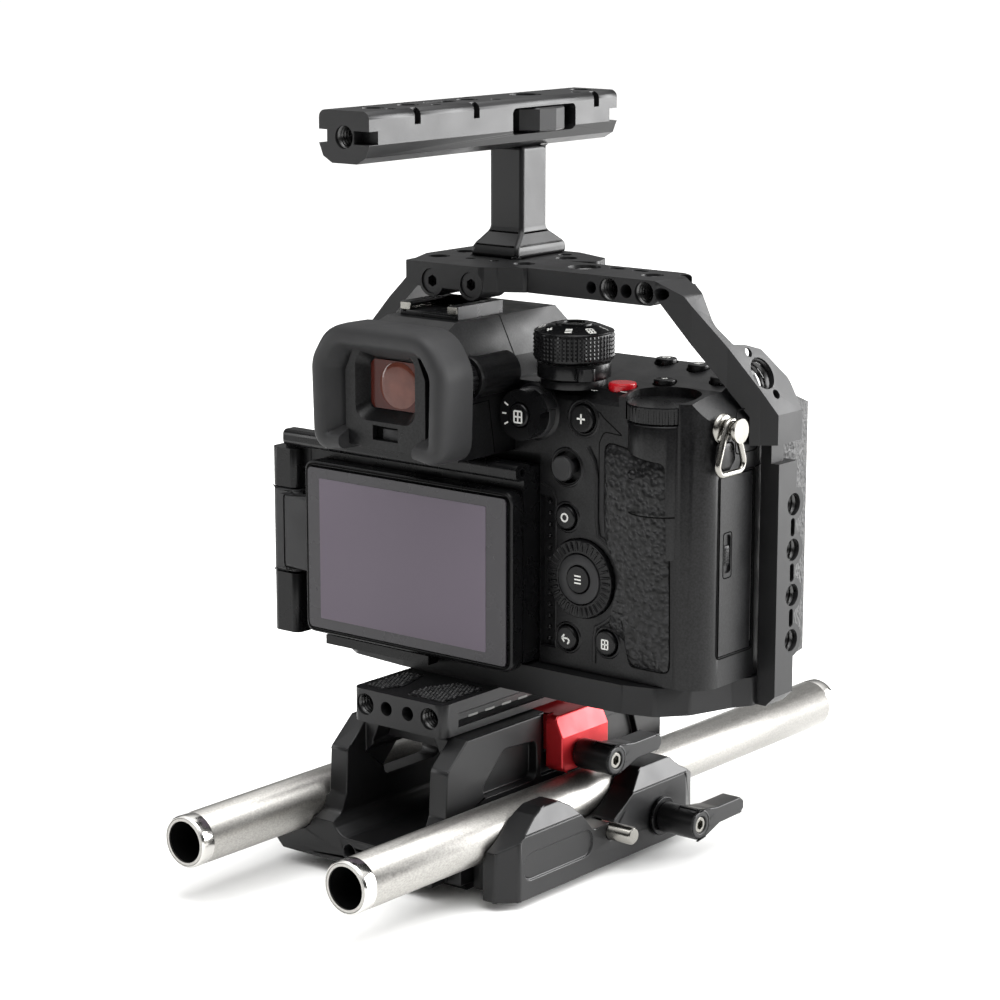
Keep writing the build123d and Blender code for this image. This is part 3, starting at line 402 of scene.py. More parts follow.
def add_node(tree, kind, links=None, **values):
    """One shader node, its named inputs or properties set and its inputs linked."""
    n = tree.nodes.new(kind)
    for key, value in values.items():
        if key in n.inputs:
            n.inputs[key].default_value = value
        else:
            setattr(n, key, value)
    for key, source in (links or {}).items():
        tree.links.new(source, n.inputs[key])
    return n


def make_material(name, colour, rough, metal=0.0, coat=0.0, coat_rough=0.1, specular=0.5,
                  mottle=0.12, mottle_mm=9.0, rough_swing=0.08, bumps=(), stretch=None, tint=None,
                  grain=0.0):
    """A surface whose colour and gloss both drift a little, with one or more fine reliefs.

    bumps is a list of (kind, size in mm, height in mm); kind is noise or cell. grain is how much the
    first of them also lightens its peaks and darkens its hollows."""
    m = bpy.data.materials.new(name)
    m.use_nodes = True
    t = m.node_tree
    t.nodes.clear()
    where = add_node(t, "ShaderNodeTexCoord").outputs["Object"]
    if stretch:
        where = add_node(t, "ShaderNodeMapping", {"Vector": where}, Scale=stretch).outputs["Vector"]
    drift = add_node(t, "ShaderNodeTexNoise", {"Vector": where}, Scale=1000.0 / mottle_mm, Detail=5.0)
    base = linear(colour)
    dark = tuple(c * (1 - mottle) for c in base[:3]) + (1.0,)
    light = tuple(min(1, c * (1 + mottle)) for c in base[:3]) + (1.0,)
    if tint:
        light = linear(tint)
    mix = add_node(t, "ShaderNodeMix", {"Factor": drift.outputs["Fac"]}, data_type="RGBA")
    mix.inputs[6].default_value, mix.inputs[7].default_value = dark, light
    swing = add_node(t, "ShaderNodeMapRange", {"Value": drift.outputs["Fac"]})
    swing.inputs["From Min"].default_value, swing.inputs["From Max"].default_value = 0.3, 0.7
    swing.inputs["To Min"].default_value = max(0.02, rough - rough_swing)
    swing.inputs["To Max"].default_value = min(1.0, rough + rough_swing)
    bsdf = add_node(t, "ShaderNodeBsdfPrincipled", Metallic=metal)
    bsdf.inputs["Coat Weight"].default_value = coat
    bsdf.inputs["Coat Roughness"].default_value = coat_rough
    bsdf.inputs["Specular IOR Level"].default_value = specular
    colour_out = mix.outputs[2]
    t.links.new(swing.outputs["Result"], bsdf.inputs["Roughness"])
    normal = None
    for kind, size, height in bumps:
        if kind == "noise":
            tex = add_node(t, "ShaderNodeTexNoise", {"Vector": where}, Scale=1000.0 / size, Detail=3.0)
            out = tex.outputs["Fac"]
        else:
            warp = add_node(t, "ShaderNodeTexNoise", {"Vector": where}, Scale=600.0 / size, Detail=2.0)
            push = add_node(t, "ShaderNodeMix", {"A": where}, data_type="VECTOR")
            push.inputs[0].default_value = 0.0012
            t.links.new(where, push.inputs[4])
            t.links.new(warp.outputs["Color"], push.inputs[5])
            tex = add_node(t, "ShaderNodeTexVoronoi", {"Vector": push.outputs[1]}, Scale=1000.0 / size,
                           feature="SMOOTH_F1")
            out = tex.outputs["Distance"]
        # painted highlight and shade: the first relief's pattern also lightens and darkens the colour, by up to grain
        # either way
        if grain and normal is None:
            relief_light_and_shade = add_node(t, "ShaderNodeMapRange", {"Value": out})
            lo, hi = (0.62, 0.12) if kind == "cell" else (0.30, 0.70)
            for key, value in (("From Min", lo), ("From Max", hi),
                               ("To Min", 1 - grain), ("To Max", 1 + grain)):
                relief_light_and_shade.inputs[key].default_value = value
            scale = t.nodes.new("ShaderNodeVectorMath")
            scale.operation = "MULTIPLY"
            t.links.new(colour_out, scale.inputs[0])
            t.links.new(relief_light_and_shade.outputs["Result"], scale.inputs[1])
            colour_out = scale.outputs[0]
        bump = add_node(t, "ShaderNodeBump", {"Height": out}, Distance=height / 1000.0, Strength=1.0)
        if normal:
            t.links.new(normal, bump.inputs["Normal"])
        normal = bump.outputs["Normal"]
    if normal:
        t.links.new(normal, bsdf.inputs["Normal"])
    t.links.new(colour_out, bsdf.inputs["Base Color"])
    end = add_node(t, "ShaderNodeOutputMaterial")
    t.links.new(bsdf.outputs["BSDF"], end.inputs["Surface"])
    return m


def build_materials():
    """Makes every finish on the rig and the studio paper"""
    table = {
        # bead-blasted then black anodised: near black head on, a pale grey satin sheen towards a light
        "Anodised aluminium, bead blasted, black": dict(
            colour="161617", rough=0.38, metal=0.30, specular=0.46, mottle=0.10, rough_swing=0.04,
            bumps=[("noise", 0.30, 0.006)]),
        # the cage's slightly rougher coat
        "Anodised aluminium, matt black": dict(
            colour="131314", rough=0.44, metal=0.30, specular=0.38, rough_swing=0.05,
            bumps=[("noise", 0.30, 0.007)]),
        # scraped, shinier black inside threads and bores
        "Anodised thread, black": dict(colour="4A4A4A", rough=0.28, metal=0.9, mottle_mm=3.0),
        # centreless-ground tube: fine grit drawn out along it, so highlights break into streaks; the grit's peaks are
        # also painted lighter and its hollows darker, as painted highlight and shade
        "Stainless steel, ground": dict(
            colour="AAA8A4", rough=0.36, metal=1.0, mottle=0.03, mottle_mm=0.9, rough_swing=0.03,
            stretch=(1.0, 0.55, 1.0), bumps=[("noise", 0.45, 0.004)], grain=0.16),
        # turned and polished: a clear mirror-like band
        "Stainless steel, polished": dict(colour="D6D4D0", rough=0.16, metal=1.0, mottle=0.05),
        # painted shade: near black for the inside of the tubes, rolled steel left bare and all in shadow
        "Steel bore, painted shade": dict(colour="070707", rough=0.70, metal=0.2, specular=0.1),
        # zinc-nickel small parts
        "Bright nickel plate": dict(colour="8E8C87", rough=0.22, metal=1.0, mottle=0.10, mottle_mm=4.0),
        "Black oxide steel": dict(colour="1A1A1B", rough=0.32, metal=0.6, mottle_mm=4.0),
        # dyed red anodising on milled aluminium
        "Anodised aluminium, red": dict(
            colour="C4262C", rough=0.40, metal=0.45, mottle=0.06, bumps=[("noise", 0.30, 0.008)]),
        # spark-eroded mould grain on polycarbonate: tiny glints over near black, partly painted highlight on the
        # grain's peaks, with painted shade in its hollows
        "Polycarbonate, fine mould grain, black": dict(
            colour="0F0F10", rough=0.36, mottle=0.10, specular=0.22, bumps=[("noise", 0.60, 0.016)],
            grain=0.8),
        "Polycarbonate, smooth satin, black": dict(
            colour="0D0D0E", rough=0.28, mottle=0.08, specular=0.20, bumps=[("noise", 0.6, 0.006)]),
        # textured elastomer: rounded pebbles about a millimetre and a half across, their middles painted lighter as
        # highlight and the creases between them painted darker as shade
        "Elastomer, leather grain, black": dict(
            colour="181819", rough=0.40, specular=0.26, bumps=[("cell", 1.2, 0.42), ("noise", 0.4, 0.02)],
            grain=0.85),
        "Elastomer, smooth matt, black": dict(
            colour="212122", rough=0.60, mottle=0.06, specular=0.34, bumps=[("noise", 0.6, 0.010)]),
        "Polycarbonate, matt grey black": dict(
            colour="262627", rough=0.55, mottle=0.05, specular=0.30, bumps=[("noise", 0.5, 0.010)]),
        # hard-coated cover glass: violet tint from its anti-reflection layer, its mid-grey brightness a painted
        # reflection of the studio
        "Display glass, painted reflection": dict(
            colour="554B58", rough=0.30, mottle=0.03, mottle_mm=40.0, coat=0.20, coat_rough=0.10,
            specular=0.2, rough_swing=0.02, tint="5A525D"),
        "Display border, black enamel": dict(
            colour="28262A", rough=0.26, coat=0.20, mottle=0.04, specular=0.3),
        "Eyepiece lens, coated": dict(
            colour="3E120C", rough=0.14, coat=0.15, coat_rough=0.03, mottle=0.20, mottle_mm=9.0,
            specular=0.15, tint="4A1C13"),
        "Eyepiece lens, inner element": dict(
            colour="4A1E16", rough=0.12, coat=0.30, coat_rough=0.03, mottle=0.20, mottle_mm=5.0,
            specular=0.2, tint="6E4236"),
        "Moulded cap, gloss red": dict(colour="B5121D", rough=0.24, coat=0.25, mottle=0.05, specular=0.3),
        "Pad-printed ink, white": dict(colour="D8D8D4", rough=0.50, mottle=0.03),
        "Pad-printed ink, grey": dict(colour="7C7C7A", rough=0.50, mottle=0.03),
        # the unlit line where two mouldings meet
        "Moulding gap, unlit": dict(colour="040404", rough=0.80, mottle=0.02, specular=0.05),
        # seamless paper sweep
        "Studio paper": dict(colour="F4F4F3", rough=0.90, mottle=0.004, mottle_mm=300.0, specular=0.1),
    }
    for name, spec in table.items():
        MATS[name] = make_material(name, **spec)


BLACK, CAGE = "Anodised aluminium, bead blasted, black", "Anodised aluminium, matt black"
THREAD, STEEL = "Anodised thread, black", "Stainless steel, ground"
POLISHED, NICKEL, OXIDE = "Stainless steel, polished", "Bright nickel plate", "Black oxide steel"
RED, BODY = "Anodised aluminium, red", "Polycarbonate, fine mould grain, black"
SMOOTH = "Polycarbonate, smooth satin, black"
LEATHER, RUBBER = "Elastomer, leather grain, black", "Elastomer, smooth matt, black"
SCREEN_REFLECTION, BORDER = "Display glass, painted reflection", "Display border, black enamel"
LENS, REDCAP = "Eyepiece lens, coated", "Moulded cap, gloss red"
INK, GREYINK, PAPER = "Pad-printed ink, white", "Pad-printed ink, grey", "Studio paper"
BORE_SHADE, GAPLINE = "Steel bore, painted shade", "Moulding gap, unlit"
GREY, INNER = "Polycarbonate, matt grey black", "Eyepiece lens, inner element"

# node: (material, edge width in mm)
DRESS = {
    "riser_body": (BLACK, 0.45), "dovetail_shoe": (BLACK, 0.35), "left_rod_clamp": (BLACK, 0.6),
    "right_clamp_arm": (BLACK, 0.35), "base_screws": (OXIDE, 0.2), "left_rod": (STEEL, 0.0),
    "right_rod": (STEEL, 0.0), "lever_washer": (OXIDE, 0.2), "arm_lever": (BLACK, 0.4),
    "jaw_lever": (BLACK, 0.4), "arm_lever_screw": (NICKEL, 0.12), "jaw_lever_screw": (NICKEL, 0.12),
    "release_pin": (NICKEL, 0.0), "clamp_jaw": (RED, 0.5), "quick_plate": (BLACK, 0.4),
    "plate_pads": (LEATHER, 0.15), "cage_base": (CAGE, 0.9), "cage_side": (CAGE, 0.6),
    "cage_top": (CAGE, 0.7), "cage_left": (CAGE, 0.7), "cage_screws": (OXIDE, 0.25),
    "handle_post": (BLACK, 1.1), "handle_bar": (BLACK, 0.5), "handle_wheel": (BLACK, 0.4),
    "camera_body": (BODY, 0.5), "camera_grip": (LEATHER, 1.0), "viewfinder_housing": (BODY, 1.3),
    "eyecup": (RUBBER, 1.2), "eyepiece_glass": (LENS, 0.2), "hot_shoe": (OXIDE, 0.15),
    "thumb_rubber": (LEATHER, 0.2), "lens_mount_ring": (NICKEL, 0.3), "body_cap": (SMOOTH, 0.3),
    "mode_dial": (SMOOTH, 0.15), "mode_dial_lever": (SMOOTH, 0.3), "thumb_dial": (SMOOTH, 0.15),
    "front_dial": (SMOOTH, 0.2), "diopter_dial": (SMOOTH, 0.15), "rear_wheel": (SMOOTH, 0.3),
    "set_button": (SMOOTH, 0.2), "shutter_button": (NICKEL, 0.2), "record_button": (REDCAP, 0.2),
    "exposure_button": (SMOOTH, 0.2), "balance_button": (SMOOTH, 0.2), "gain_button": (SMOOTH, 0.2),
    "shift_button": (SMOOTH, 0.2), "focus_start_button": (SMOOTH, 0.2),
    "quick_menu_button": (SMOOTH, 0.2), "return_button": (SMOOTH, 0.2),
    "display_button": (SMOOTH, 0.2), "af_button": (SMOOTH, 0.2), "af_lever": (SMOOTH, 0.0),
    "joystick": (RUBBER, 0.2), "card_door": (BODY, 0.3), "strap_lugs": (NICKEL, 0.2),
    "strap_ring": (NICKEL, 0.0), "tilt_bracket": (SMOOTH, 0.5), "screen_hinge": (GREY, 0.8),
    "screen_panel": (SMOOTH, 0.6), "screen_glass": (BORDER, 0.2),
}


# nodes whose rounding isn't held back by their smallest edge
FREE_EDGES = ("riser_body", "right_clamp_arm", "handle_post", "clamp_jaw", "screen_panel",
              "screen_hinge", "arm_lever", "jaw_lever")


def dress_frame():
    """Gives every shown CAD node its material and soft edges."""
    for node, (material, edge) in DRESS.items():
        obj = FRAME["nodes"][node]
        obj.data.materials.clear()
        obj.data.materials.append(MATS[material])
        obj.data.polygons.foreach_set("material_index", [0] * len(obj.data.polygons))
        weld = obj.modifiers.new("weld", "WELD")
        weld.merge_threshold = 2e-6
        if edge:
            add_bevel(obj, edge, 2, 28).use_clamp_overlap = node not in FREE_EDGES


# ------------------------------------------------------------------ operators
class RIG_PG_look(bpy.types.PropertyGroup):
    """Sizes a user may change before building."""
    thumb_rise: bpy.props.FloatProperty(
        name="Thumb rest rise", description="How far the thumb rest swells out of the back",
        default=0.0022, min=0.0, max=0.004, unit="LENGTH", subtype="DISTANCE")
    knurl_depth: bpy.props.FloatProperty(
        name="Knurl depth", description="Height of the points on the mode dial's rim", default=0.0004,
        min=0.0, max=0.0006, unit="LENGTH", subtype="DISTANCE")
    strip_bumps: bpy.props.IntProperty(
        name="Strip bumps", description="Bumps down the strip beside the screen", default=13, min=4,
        max=30)


def finish_step(step):
    """Runs a step, and turns any failure into an error that stops the operator."""
    try:
        step()
    except Exception as problem:
        raise RuntimeError("%s: %s" % (step.__name__, problem)) from problem
    return {"FINISHED"}


THREADS = [
    # mouth, axis out of the hole, depth, (radius, pitch), body
    ((0, 95, -18), DOWNWARDS, 9, THREE_EIGHTHS, "base"),
    ((0, 75, -18), DOWNWARDS, 9, QUARTER, "base"),
    ((0, 115, -18), DOWNWARDS, 9, QUARTER, "base"),
    ((83.9, 113.6, 129.38), (0.874, 0, 0.486), 6, THREE_EIGHTHS, "head"),
    ((50, 88, 152.4), BACKWARDS, 9, QUARTER, "head"),
    ((62, 88, 152.4), BACKWARDS, 9, QUARTER, "head"),
    ((33, 99.5, 156), UPWARDS, 7, THREE_EIGHTHS, "head"),
    ((58, 97.5, 156), UPWARDS, 7, QUARTER, "head"),
    ((0, 36.3, 194.6), BACKWARDS, 11, QUARTER, "head"),
    ((0, 146.5, 194.6), FORWARDS, 11, QUARTER, "head"),
]
THREADS += [((90, 121.4, z), RIGHTWARDS, 6, QUARTER, "head") for z in (53.0, 66.1, 79.1, 92.1)]
THREADS += [((x, y, 156), UPWARDS, 7, QUARTER, "head")
            for x, y in ((-14.5, 93.0), (-15.5, 106.0), (15.5, 94.5), (17.0, 112.0))]
THREADS += [((x, 56, 30.6), BACKWARDS, 6.5, QUARTER, "head") for x in (-12, 12)]
THREADS += [((x, 142, 30.6), FORWARDS, 6.5, QUARTER, "head") for x in (-12, 12)]
THREADS += [((0, y, 201.7), UPWARDS, 4.5, QUARTER, "head") for y in (62.5, 88.0)]
THREADS += [((x, 124, 35), DOWNWARDS, 8, QUARTER, "head") for x in (-48, -38, -28, 30, 42, 54, 66)]


def build_threads():
    """Adds the thread ridges of the tapped holes."""
    for body in ("base", "head"):
        parts = [helix_mesh(mouth, axis, size[0], depth, size[1])
                 for mouth, axis, depth, size, owner in THREADS if owner == body]
        v, f = join(parts)
        mesh_piece("threads_" + body, v, f, THREAD, body, angle=60)


def build_rods():
    """Adds a polished band and a dark bore lining to each rod end."""
    for side, body in ((-1, "left_rod_body"), (1, "right_rod_body")):
        name = "left" if side < 0 else "right"
        x = 30 * side
        for end, y0, s in (("rear", 0.0, 1), ("front", 230.5, -1)):
            band = [(6.95, 0.0), (7.1, -0.03), (7.42, 0.30), (7.53, 0.75), (7.53, 4.2), (7.49, 4.4)]
            v, f = lathe_mesh([(r, s * h) for r, h in band], (x, y0, 0), FORWARDS, 72, closed=False)
            mesh_piece("%s_rod_%s_band" % (name, end), v, f, POLISHED, body, angle=50)
            # painted shade: a near-black sheet just inside the bore
            v, f = lathe_mesh([(5.96, s * 0.6), (5.96, s * 22.0), (5.5, s * 22.1), (5.5, s * 60)],
                              (x, y0, 0), FORWARDS, 48, closed=False)
            mesh_piece("%s_rod_%s_bore_shade" % (name, end), v, f, BORE_SHADE, body, angle=40)


def build_display():
    """Lights up the picture area inside the screen's border"""
    outline = [(-13.4 + u, 68.5 + v) for u, v in rounded_rect(63.2, 42.4, 0.4, 2)]
    v, f = slab_mesh(outline, "Y", 73.85, 73.70, 0.02, 1)
    # painted reflection: the picture area's violet-grey colour stands in for the studio seen in the glass
    obj = mesh_piece("display_area", v, f, SCREEN_REFLECTION, "screen", smooth=False)
    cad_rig.slot(obj, "screen_glass")
    seam = lift_y(corner_path([(-50.6, 43.2), (26.4, 43.2), (26.4, 93.7), (-50.6, 93.7)], 3.0), 74.4)
    v, f = ribbon(seam, BACKWARDS, 0.35, closed=True)
    mesh_piece("screen_rim_gap", v, f, GAPLINE, "screen", smooth=False)


EYE_Z = 124.6                           # height of the eyepiece's middle


def reach_outline(outline, ray):
    """Where a ray from the eyepiece's middle leaves an outline in the XZ plane."""
    middle, best = Vector((0, EYE_Z)), 0.0
    for i, point in enumerate(outline):
        p, q = point - middle, outline[(i + 1) % len(outline)] - middle
        edge = q - p
        across = ray.x * edge.y - ray.y * edge.x
        if abs(across) > 1e-9:
            far = (p.x * edge.y - p.y * edge.x) / across
            along = (p.x * ray.y - p.y * ray.x) / across
            if far > 0 and -1e-6 <= along <= 1 + 1e-6:
                best = max(best, far)
    return ray.x * best, EYE_Z + ray.y * best


def build_finder():
    """Shapes the rubber eyecup, the eyepiece surround and the lens behind it"""
    u_path = corner_path([(-13.4, 108.4), (-20.8, 107.8), (-21.5, 130.4), (-16.4, 138.3), (16.4, 138.3),
                          (21.5, 130.4), (20.8, 107.8), (13.4, 108.4)], [0, 5, 8, 8, 8, 8, 5, 0], 7, False)
    section = [(3.2, 60.6), (3.3, 54.0), (3.15, 50.6), (2.85, 49.1), (2.2, 48.1), (1.3, 47.6), (0.4, 47.5),
               (-0.9, 47.55), (-1.7, 47.9), (-2.3, 48.6), (-4.4, 52.2),
                (-6.0, 55.4), (-6.5, 57.4), (-6.6, 60.6)]
    rings = []
    for i, q in enumerate(u_path):
        nxt, prv = u_path[min(i + 1, len(u_path) - 1)], u_path[max(i - 1, 0)]
        d = (nxt - prv).normalized()
        n = Vector((-d.y, d.x))
        foot = min(i, len(u_path) - 1 - i)
        shrink = (0.74, 0.84, 0.92, 0.97)[foot] if foot < 4 else 1.0
        rings.append([(q.x + n.x * h * shrink, y, q.y + n.y * h * shrink) for h, y in section])
    v, f = loft_mesh(rings)
    cup = mesh_piece("eyecup_rubber", v, f, RUBBER, "head", angle=50, bevel=0.5)
    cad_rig.replaces(cup, "eyecup")
    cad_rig.slot(cup, "eyecup_rubber")

    outer = corner_path([(14.4, 134.4), (-14.4, 134.4), (-15.0, 116.6), (-11.4, 107.2), (11.4, 107.2),
                         (15.0, 116.6)], [5, 5, 4, 1.6, 1.6, 4], 3)
    rays = [Vector((math.cos(a), math.sin(a))) for a in (2 * math.pi * k / 28 for k in range(28))]
    rim = [reach_outline(outer, ray) for ray in rays]

    def window(w, h, r, y):
        full = [(a, y, EYE_Z + b) for a, b in rounded_rect(w, h, r, 6)]
        return [max(full, key=lambda q: Vector((q[0], q[2] - EYE_Z)).normalized().dot(ray)) for ray in rays]
    rings = [[(a, 59.8, b) for a, b in rim], [(a, 54.6, b) for a, b in rim],
             [(a * 0.975, 54.1, EYE_Z + (b - EYE_Z) * 0.975) for a, b in rim],
             window(23.2, 20.6, 6.0, 54.0), window(22.4, 19.8, 5.6, 54.5), window(17.6, 14.4, 3.6, 57.0)]
    v, f = loft_mesh(rings, False, False)
    mesh_piece("eyepiece_surround", v, f, GREY, "head", angle=30)
    # painted shade: a near-black slab showing round the latch, where its recess lies in shadow
    v, f = slab_mesh([(-0.2 + a, 110.9 + b) for a, b in rounded_rect(9.6, 4.6, 0.7, 3)], "Y", 54.3,
                     54.02, 0.02, 1)
    mesh_piece("eyepiece_latch_shade", v, f, GAPLINE, "head", smooth=False)
    v, f = slab_mesh([(0.9 + a, 111.0 + b) for a, b in rounded_rect(6.6, 3.2, 0.4, 3)], "Y", 54.3, 53.75,
                     0.15, 2)
    mesh_piece("eyepiece_latch", v, f, GREY, "head", angle=40)
    dome = []
    for r, y in ((6.6, 56.06), (6.3, 55.96), (5.0, 55.84), (3.0, 55.76), (0.6, 55.72)):
        dome.append([(1.7 + min(6.6, r * 1.05 * math.cos(t)), y, 124.7 + r * math.sin(t))
                     for t in (2 * math.pi * k / 40 for k in range(40))])
    v, f = loft_mesh(dome, False, True)
    lens = mesh_piece("eyepiece_inner_lens", v, f, INNER, "head", angle=60)
    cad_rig.slot(lens, "finder_glass")
    # seams where the finder's mouldings meet
    parts = [ribbon([(18.05, y, z) for y, z in ((66.0, 119.6), (75.4, 119.8), (78.0, 104.6))],
                    RIGHTWARDS, 0.35),
             ribbon([(18.05, 62.0, 131.2), (18.05, 86.0, 131.2)], RIGHTWARDS, 0.4),
             ribbon([(18.0, 87.0, 131.0), (12.5, 87.0, 142.0), (4.0, 87.0, 142.0)], (0.9, 0, 0.45), 0.4)]
    v, f = join(parts)
    mesh_piece("finder_seams", v, f, GAPLINE, "head", smooth=False)


def build_shoe():
    """Dark insert, contacts and stop under the accessory shoe's rails"""
    v, f = slab_mesh([(u, 80.4 + w) for u, w in rounded_rect(18.2, 18.4, 0.8, 3)], "Z", 143.0, 143.45,
                     0.15, 2)
    mesh_piece("shoe_insert", v, f, SMOOTH, "head", angle=40)
    parts = [slab_mesh([(side * 8.6 + u, 144.6 + w) for u, w in rounded_rect(3.6, 2.0, 0.3, 3)], "Y", 71.2,
                       70.86, 0.1, 1) for side in (-1, 1)]
    parts += [slab_mesh([(side * 9.3 + u, 80.6 + w) for u, w in rounded_rect(0.7, 18.6, 0.2, 2)], "Z", 143.4,
                        144.1, 0.1, 1) for side in (-1, 1)]
    for x, y in ((0, 81), (-4.2, 86), (-1.4, 87), (1.4, 87), (4.2, 86)):
        parts.append(lathe_mesh([(1.0, 0.0), (0.95, 0.12), (0.7, 0.2), (0.05, 0.2)], (x, y, 143.42),
                                UPWARDS, 20))
    v, f = join(parts)
    mesh_piece("shoe_contacts", v, f, NICKEL, "head", angle=40)


def build_thumb_rest():
    """Leather-grained thumb rest, swelling towards its outer side"""
    rise = bpy.context.scene.rig_look.thumb_rise * 1000.0
    arc = [(WHEEL_X + 15.4 * math.cos(math.radians(a)), WHEEL_Z + 15.4 * math.sin(math.radians(a)))
           for a in (-56, -34, -10, 14, 38, 58)]
    corners = [(59.6, 47.7), (57.8, 55.2)] + arc + [(50.4, 92.0), (50.6, 110.2), (72.0, 106.8), (73.0, 47.7)]
    outline = corner_path(corners, [2.0, 3] + [4] * 6 + [4, 2.5, 2.5, 2.5], 3)
    v, f = dome_mesh(outline, 86.35, rise, 8)
    rest = mesh_piece("thumb_rest_leather", v, f, LEATHER, "head", angle=70)
    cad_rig.replaces(rest, "thumb_rubber")
    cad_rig.slot(rest, "grip_rubber")
    v, f = ribbon(lift_y([(q[0], q[1]) for q in outline], 86.46), BACKWARDS, 0.7, closed=True)
    mesh_piece("thumb_rest_gap", v, f, GAPLINE, "head", smooth=False)


def build_back_details():
    """Ridges, seams and the bump strip on the camera's back and right side"""
    bumps = bpy.context.scene.rig_look.strip_bumps
    parts = []
    for k in range(bumps):
        z = 50.6 + (90.4 - 50.6) * k / (bumps - 1)
        parts.append(lathe_mesh([(0.75, 0.0), (0.7, 0.35), (0.5, 0.7), (0.2, 0.85), (0.02, 0.88)],
                                (30.0, 88.4, z), BACKWARDS, 14))
        parts.append(ribbon([(31.6, 88.35, z - 0.9), (33.2, 88.35, z - 0.9)], BACKWARDS, 0.5, 0.25))
    v, f = join(parts)
    mesh_piece("strip_bumps", v, f, SMOOTH, "head", angle=50)
    # raised ridge down from the stick and round the wheel
    arc = [(WHEEL_X + 14.1 * math.cos(math.radians(a)), WHEEL_Z + 14.1 * math.sin(math.radians(a)))
           for a in range(66, -70, -9)]
    path = [(44.6, 108.0), (47.0, 104.5), (47.8, 100.0), (47.8, 88.0)] + arc + [(47.2, 54.0), (47.2, 46.5)]
    v, f = tube_mesh([(x, 86.45, z) for x, z in path], 0.62, False, 10)
    mesh_piece("wheel_ridge", v, f, BODY, "head", angle=60)
    ridge = [(33.5, 49.0), (33.5, 92.0), (32.4, 94.3), (27.9, 96.0)]
    v, f = tube_mesh(lift_y(corner_path(ridge, 1.5, 4, False), BACK_Y), 0.32, False, 8)
    mesh_piece("strip_ridge", v, f, BODY, "head", angle=60)
    # rings let in round the stick and the round buttons
    parts = []
    for x, z, r in ((37.2, 101.4, 5.6), (42.9, 115.9, 5.4), (37.3, 87.2, 4.4), (37.9, 52.4, 4.5),
                    (51.7, 53.1, 4.5)):
        parts.append(lathe_mesh([(r - 0.75, 0.0), (r - 0.6, 0.22), (r - 0.3, 0.34), (r, 0.2), (r + 0.2, 0.0)],
                                (x, BACK_Y, z), BACKWARDS, 48, closed=False))
    v, f = join(parts)
    mesh_piece("button_collars", v, f, SMOOTH, "head", angle=60)
    # the little light sensor on the pillar and its seams
    v, f = lathe_mesh([(1.5, 0.0), (1.45, 0.4), (1.0, 0.9), (0.4, 1.1), (0.03, 1.12)], (62.2, 83.1, 103.0),
                      (-0.35, -0.94, 0), 24)
    mesh_piece("pillar_sensor", v, f, SMOOTH, "head", angle=60)
    seams = [ribbon([(66.2 + 9.74 * math.cos(math.radians(a)), 92 + 9.74 * math.sin(math.radians(a)), 92.0)
                     for a in range(-150, -20, 6)], BACKWARDS, 0.4, 0.02)]
    seams.append(ribbon(lift_y([(47.9, 118.4), (48.6, 118.2), (50.0, 116.8), (56.0, 112.8)], BACK_Y),
                        BACKWARDS, 0.35))
    seams.append(ribbon(lift_y(corner_path([(48.4, 90.0), (48.4, 109.6), (50.0, 113.0), (56.2, 112.6)], 2, 4,
                                           False), BACK_Y), BACKWARDS, 0.3))
    v, f = join(seams)
    mesh_piece("back_seams", v, f, GAPLINE, "head", smooth=False)


def build_side_details():
    """Latch, seams and port cover on the camera's right side"""
    plate = [(y, z) for y, z in ((97.0, 74.2), (101.0, 74.2), (101.0, 87.0), (97.0, 87.0))]
    frame = [(83.22, q.x, q.y) for q in corner_path(plate, 1.0, 4)]
    v, f = ribbon(frame, RIGHTWARDS, 0.35, closed=True)
    mesh_piece("latch_edge", v, f, GAPLINE, "door", smooth=False)
    outline = [(99.0 + u, 80.4 + w) for u, w in rounded_rect(2.5, 5.6, 0.4, 3)]
    v, f = slab_mesh(outline, "X", 82.6, SIDE_X, 0.2, 2)
    parts = [(v, f)] + [slab_mesh([(99.0 + u, 78.6 + 0.9 * k + w)
                                   for u, w in rounded_rect(2.0, 0.35, 0.1, 2)],
                                  "X", 82.9, 83.25, 0.08, 1) for k in range(5)]
    v, f = join(parts)
    mesh_piece("latch_slide", v, f, SMOOTH, "door", angle=40)
    door = [(83.06, q.x, q.y) for q in corner_path([(94.7, 51.6), (112.2, 51.6), (112.2, 103.4),
                                                    (94.7, 103.4)], 1.6, 4)]
    parts = [ribbon(door, RIGHTWARDS, 0.4, closed=True)]
    parts.append(ribbon([(SIDE_X, 112.2, 103.4), (SIDE_X, 121.4, 104.8)], RIGHTWARDS, 0.35))
    port = [(SIDE_X, q.x, q.y) for q in corner_path([(102.4, 108.2), (113.0, 108.2), (113.0, 120.4),
                                                    (102.4, 120.4)], 1.5, 4)]
    parts.append(ribbon(port, RIGHTWARDS, 0.35, closed=True))
    v, f = join(parts)
    mesh_piece("side_seams", v, f, GAPLINE, "head", smooth=False)


def build_lug_guard():
    """Plastic guard between the strap ring and the shell"""
    outline = [(q.x, q.y) for q in corner_path([(92.0, 112.8), (99.0, 112.8), (99.8, 107.6), (95.5, 103.2),
                                                (91.2, 107.6)], 1.6, 4)]
    v, f = slab_mesh(outline, "X", 83.9, 85.0, 0.5, 3)
    mesh_piece("ring_guard", v, f, SMOOTH, "head", angle=40)
    v, f = lathe_mesh([(4.4, 0.0), (4.3, 0.5), (3.6, 1.1), (2.2, 1.4), (1.7, 1.45)], (83.5, 95.5, 116.5),
                      RIGHTWARDS, 40, closed=False)
    mesh_piece("lug_seat", v, f, NICKEL, "head", angle=50)


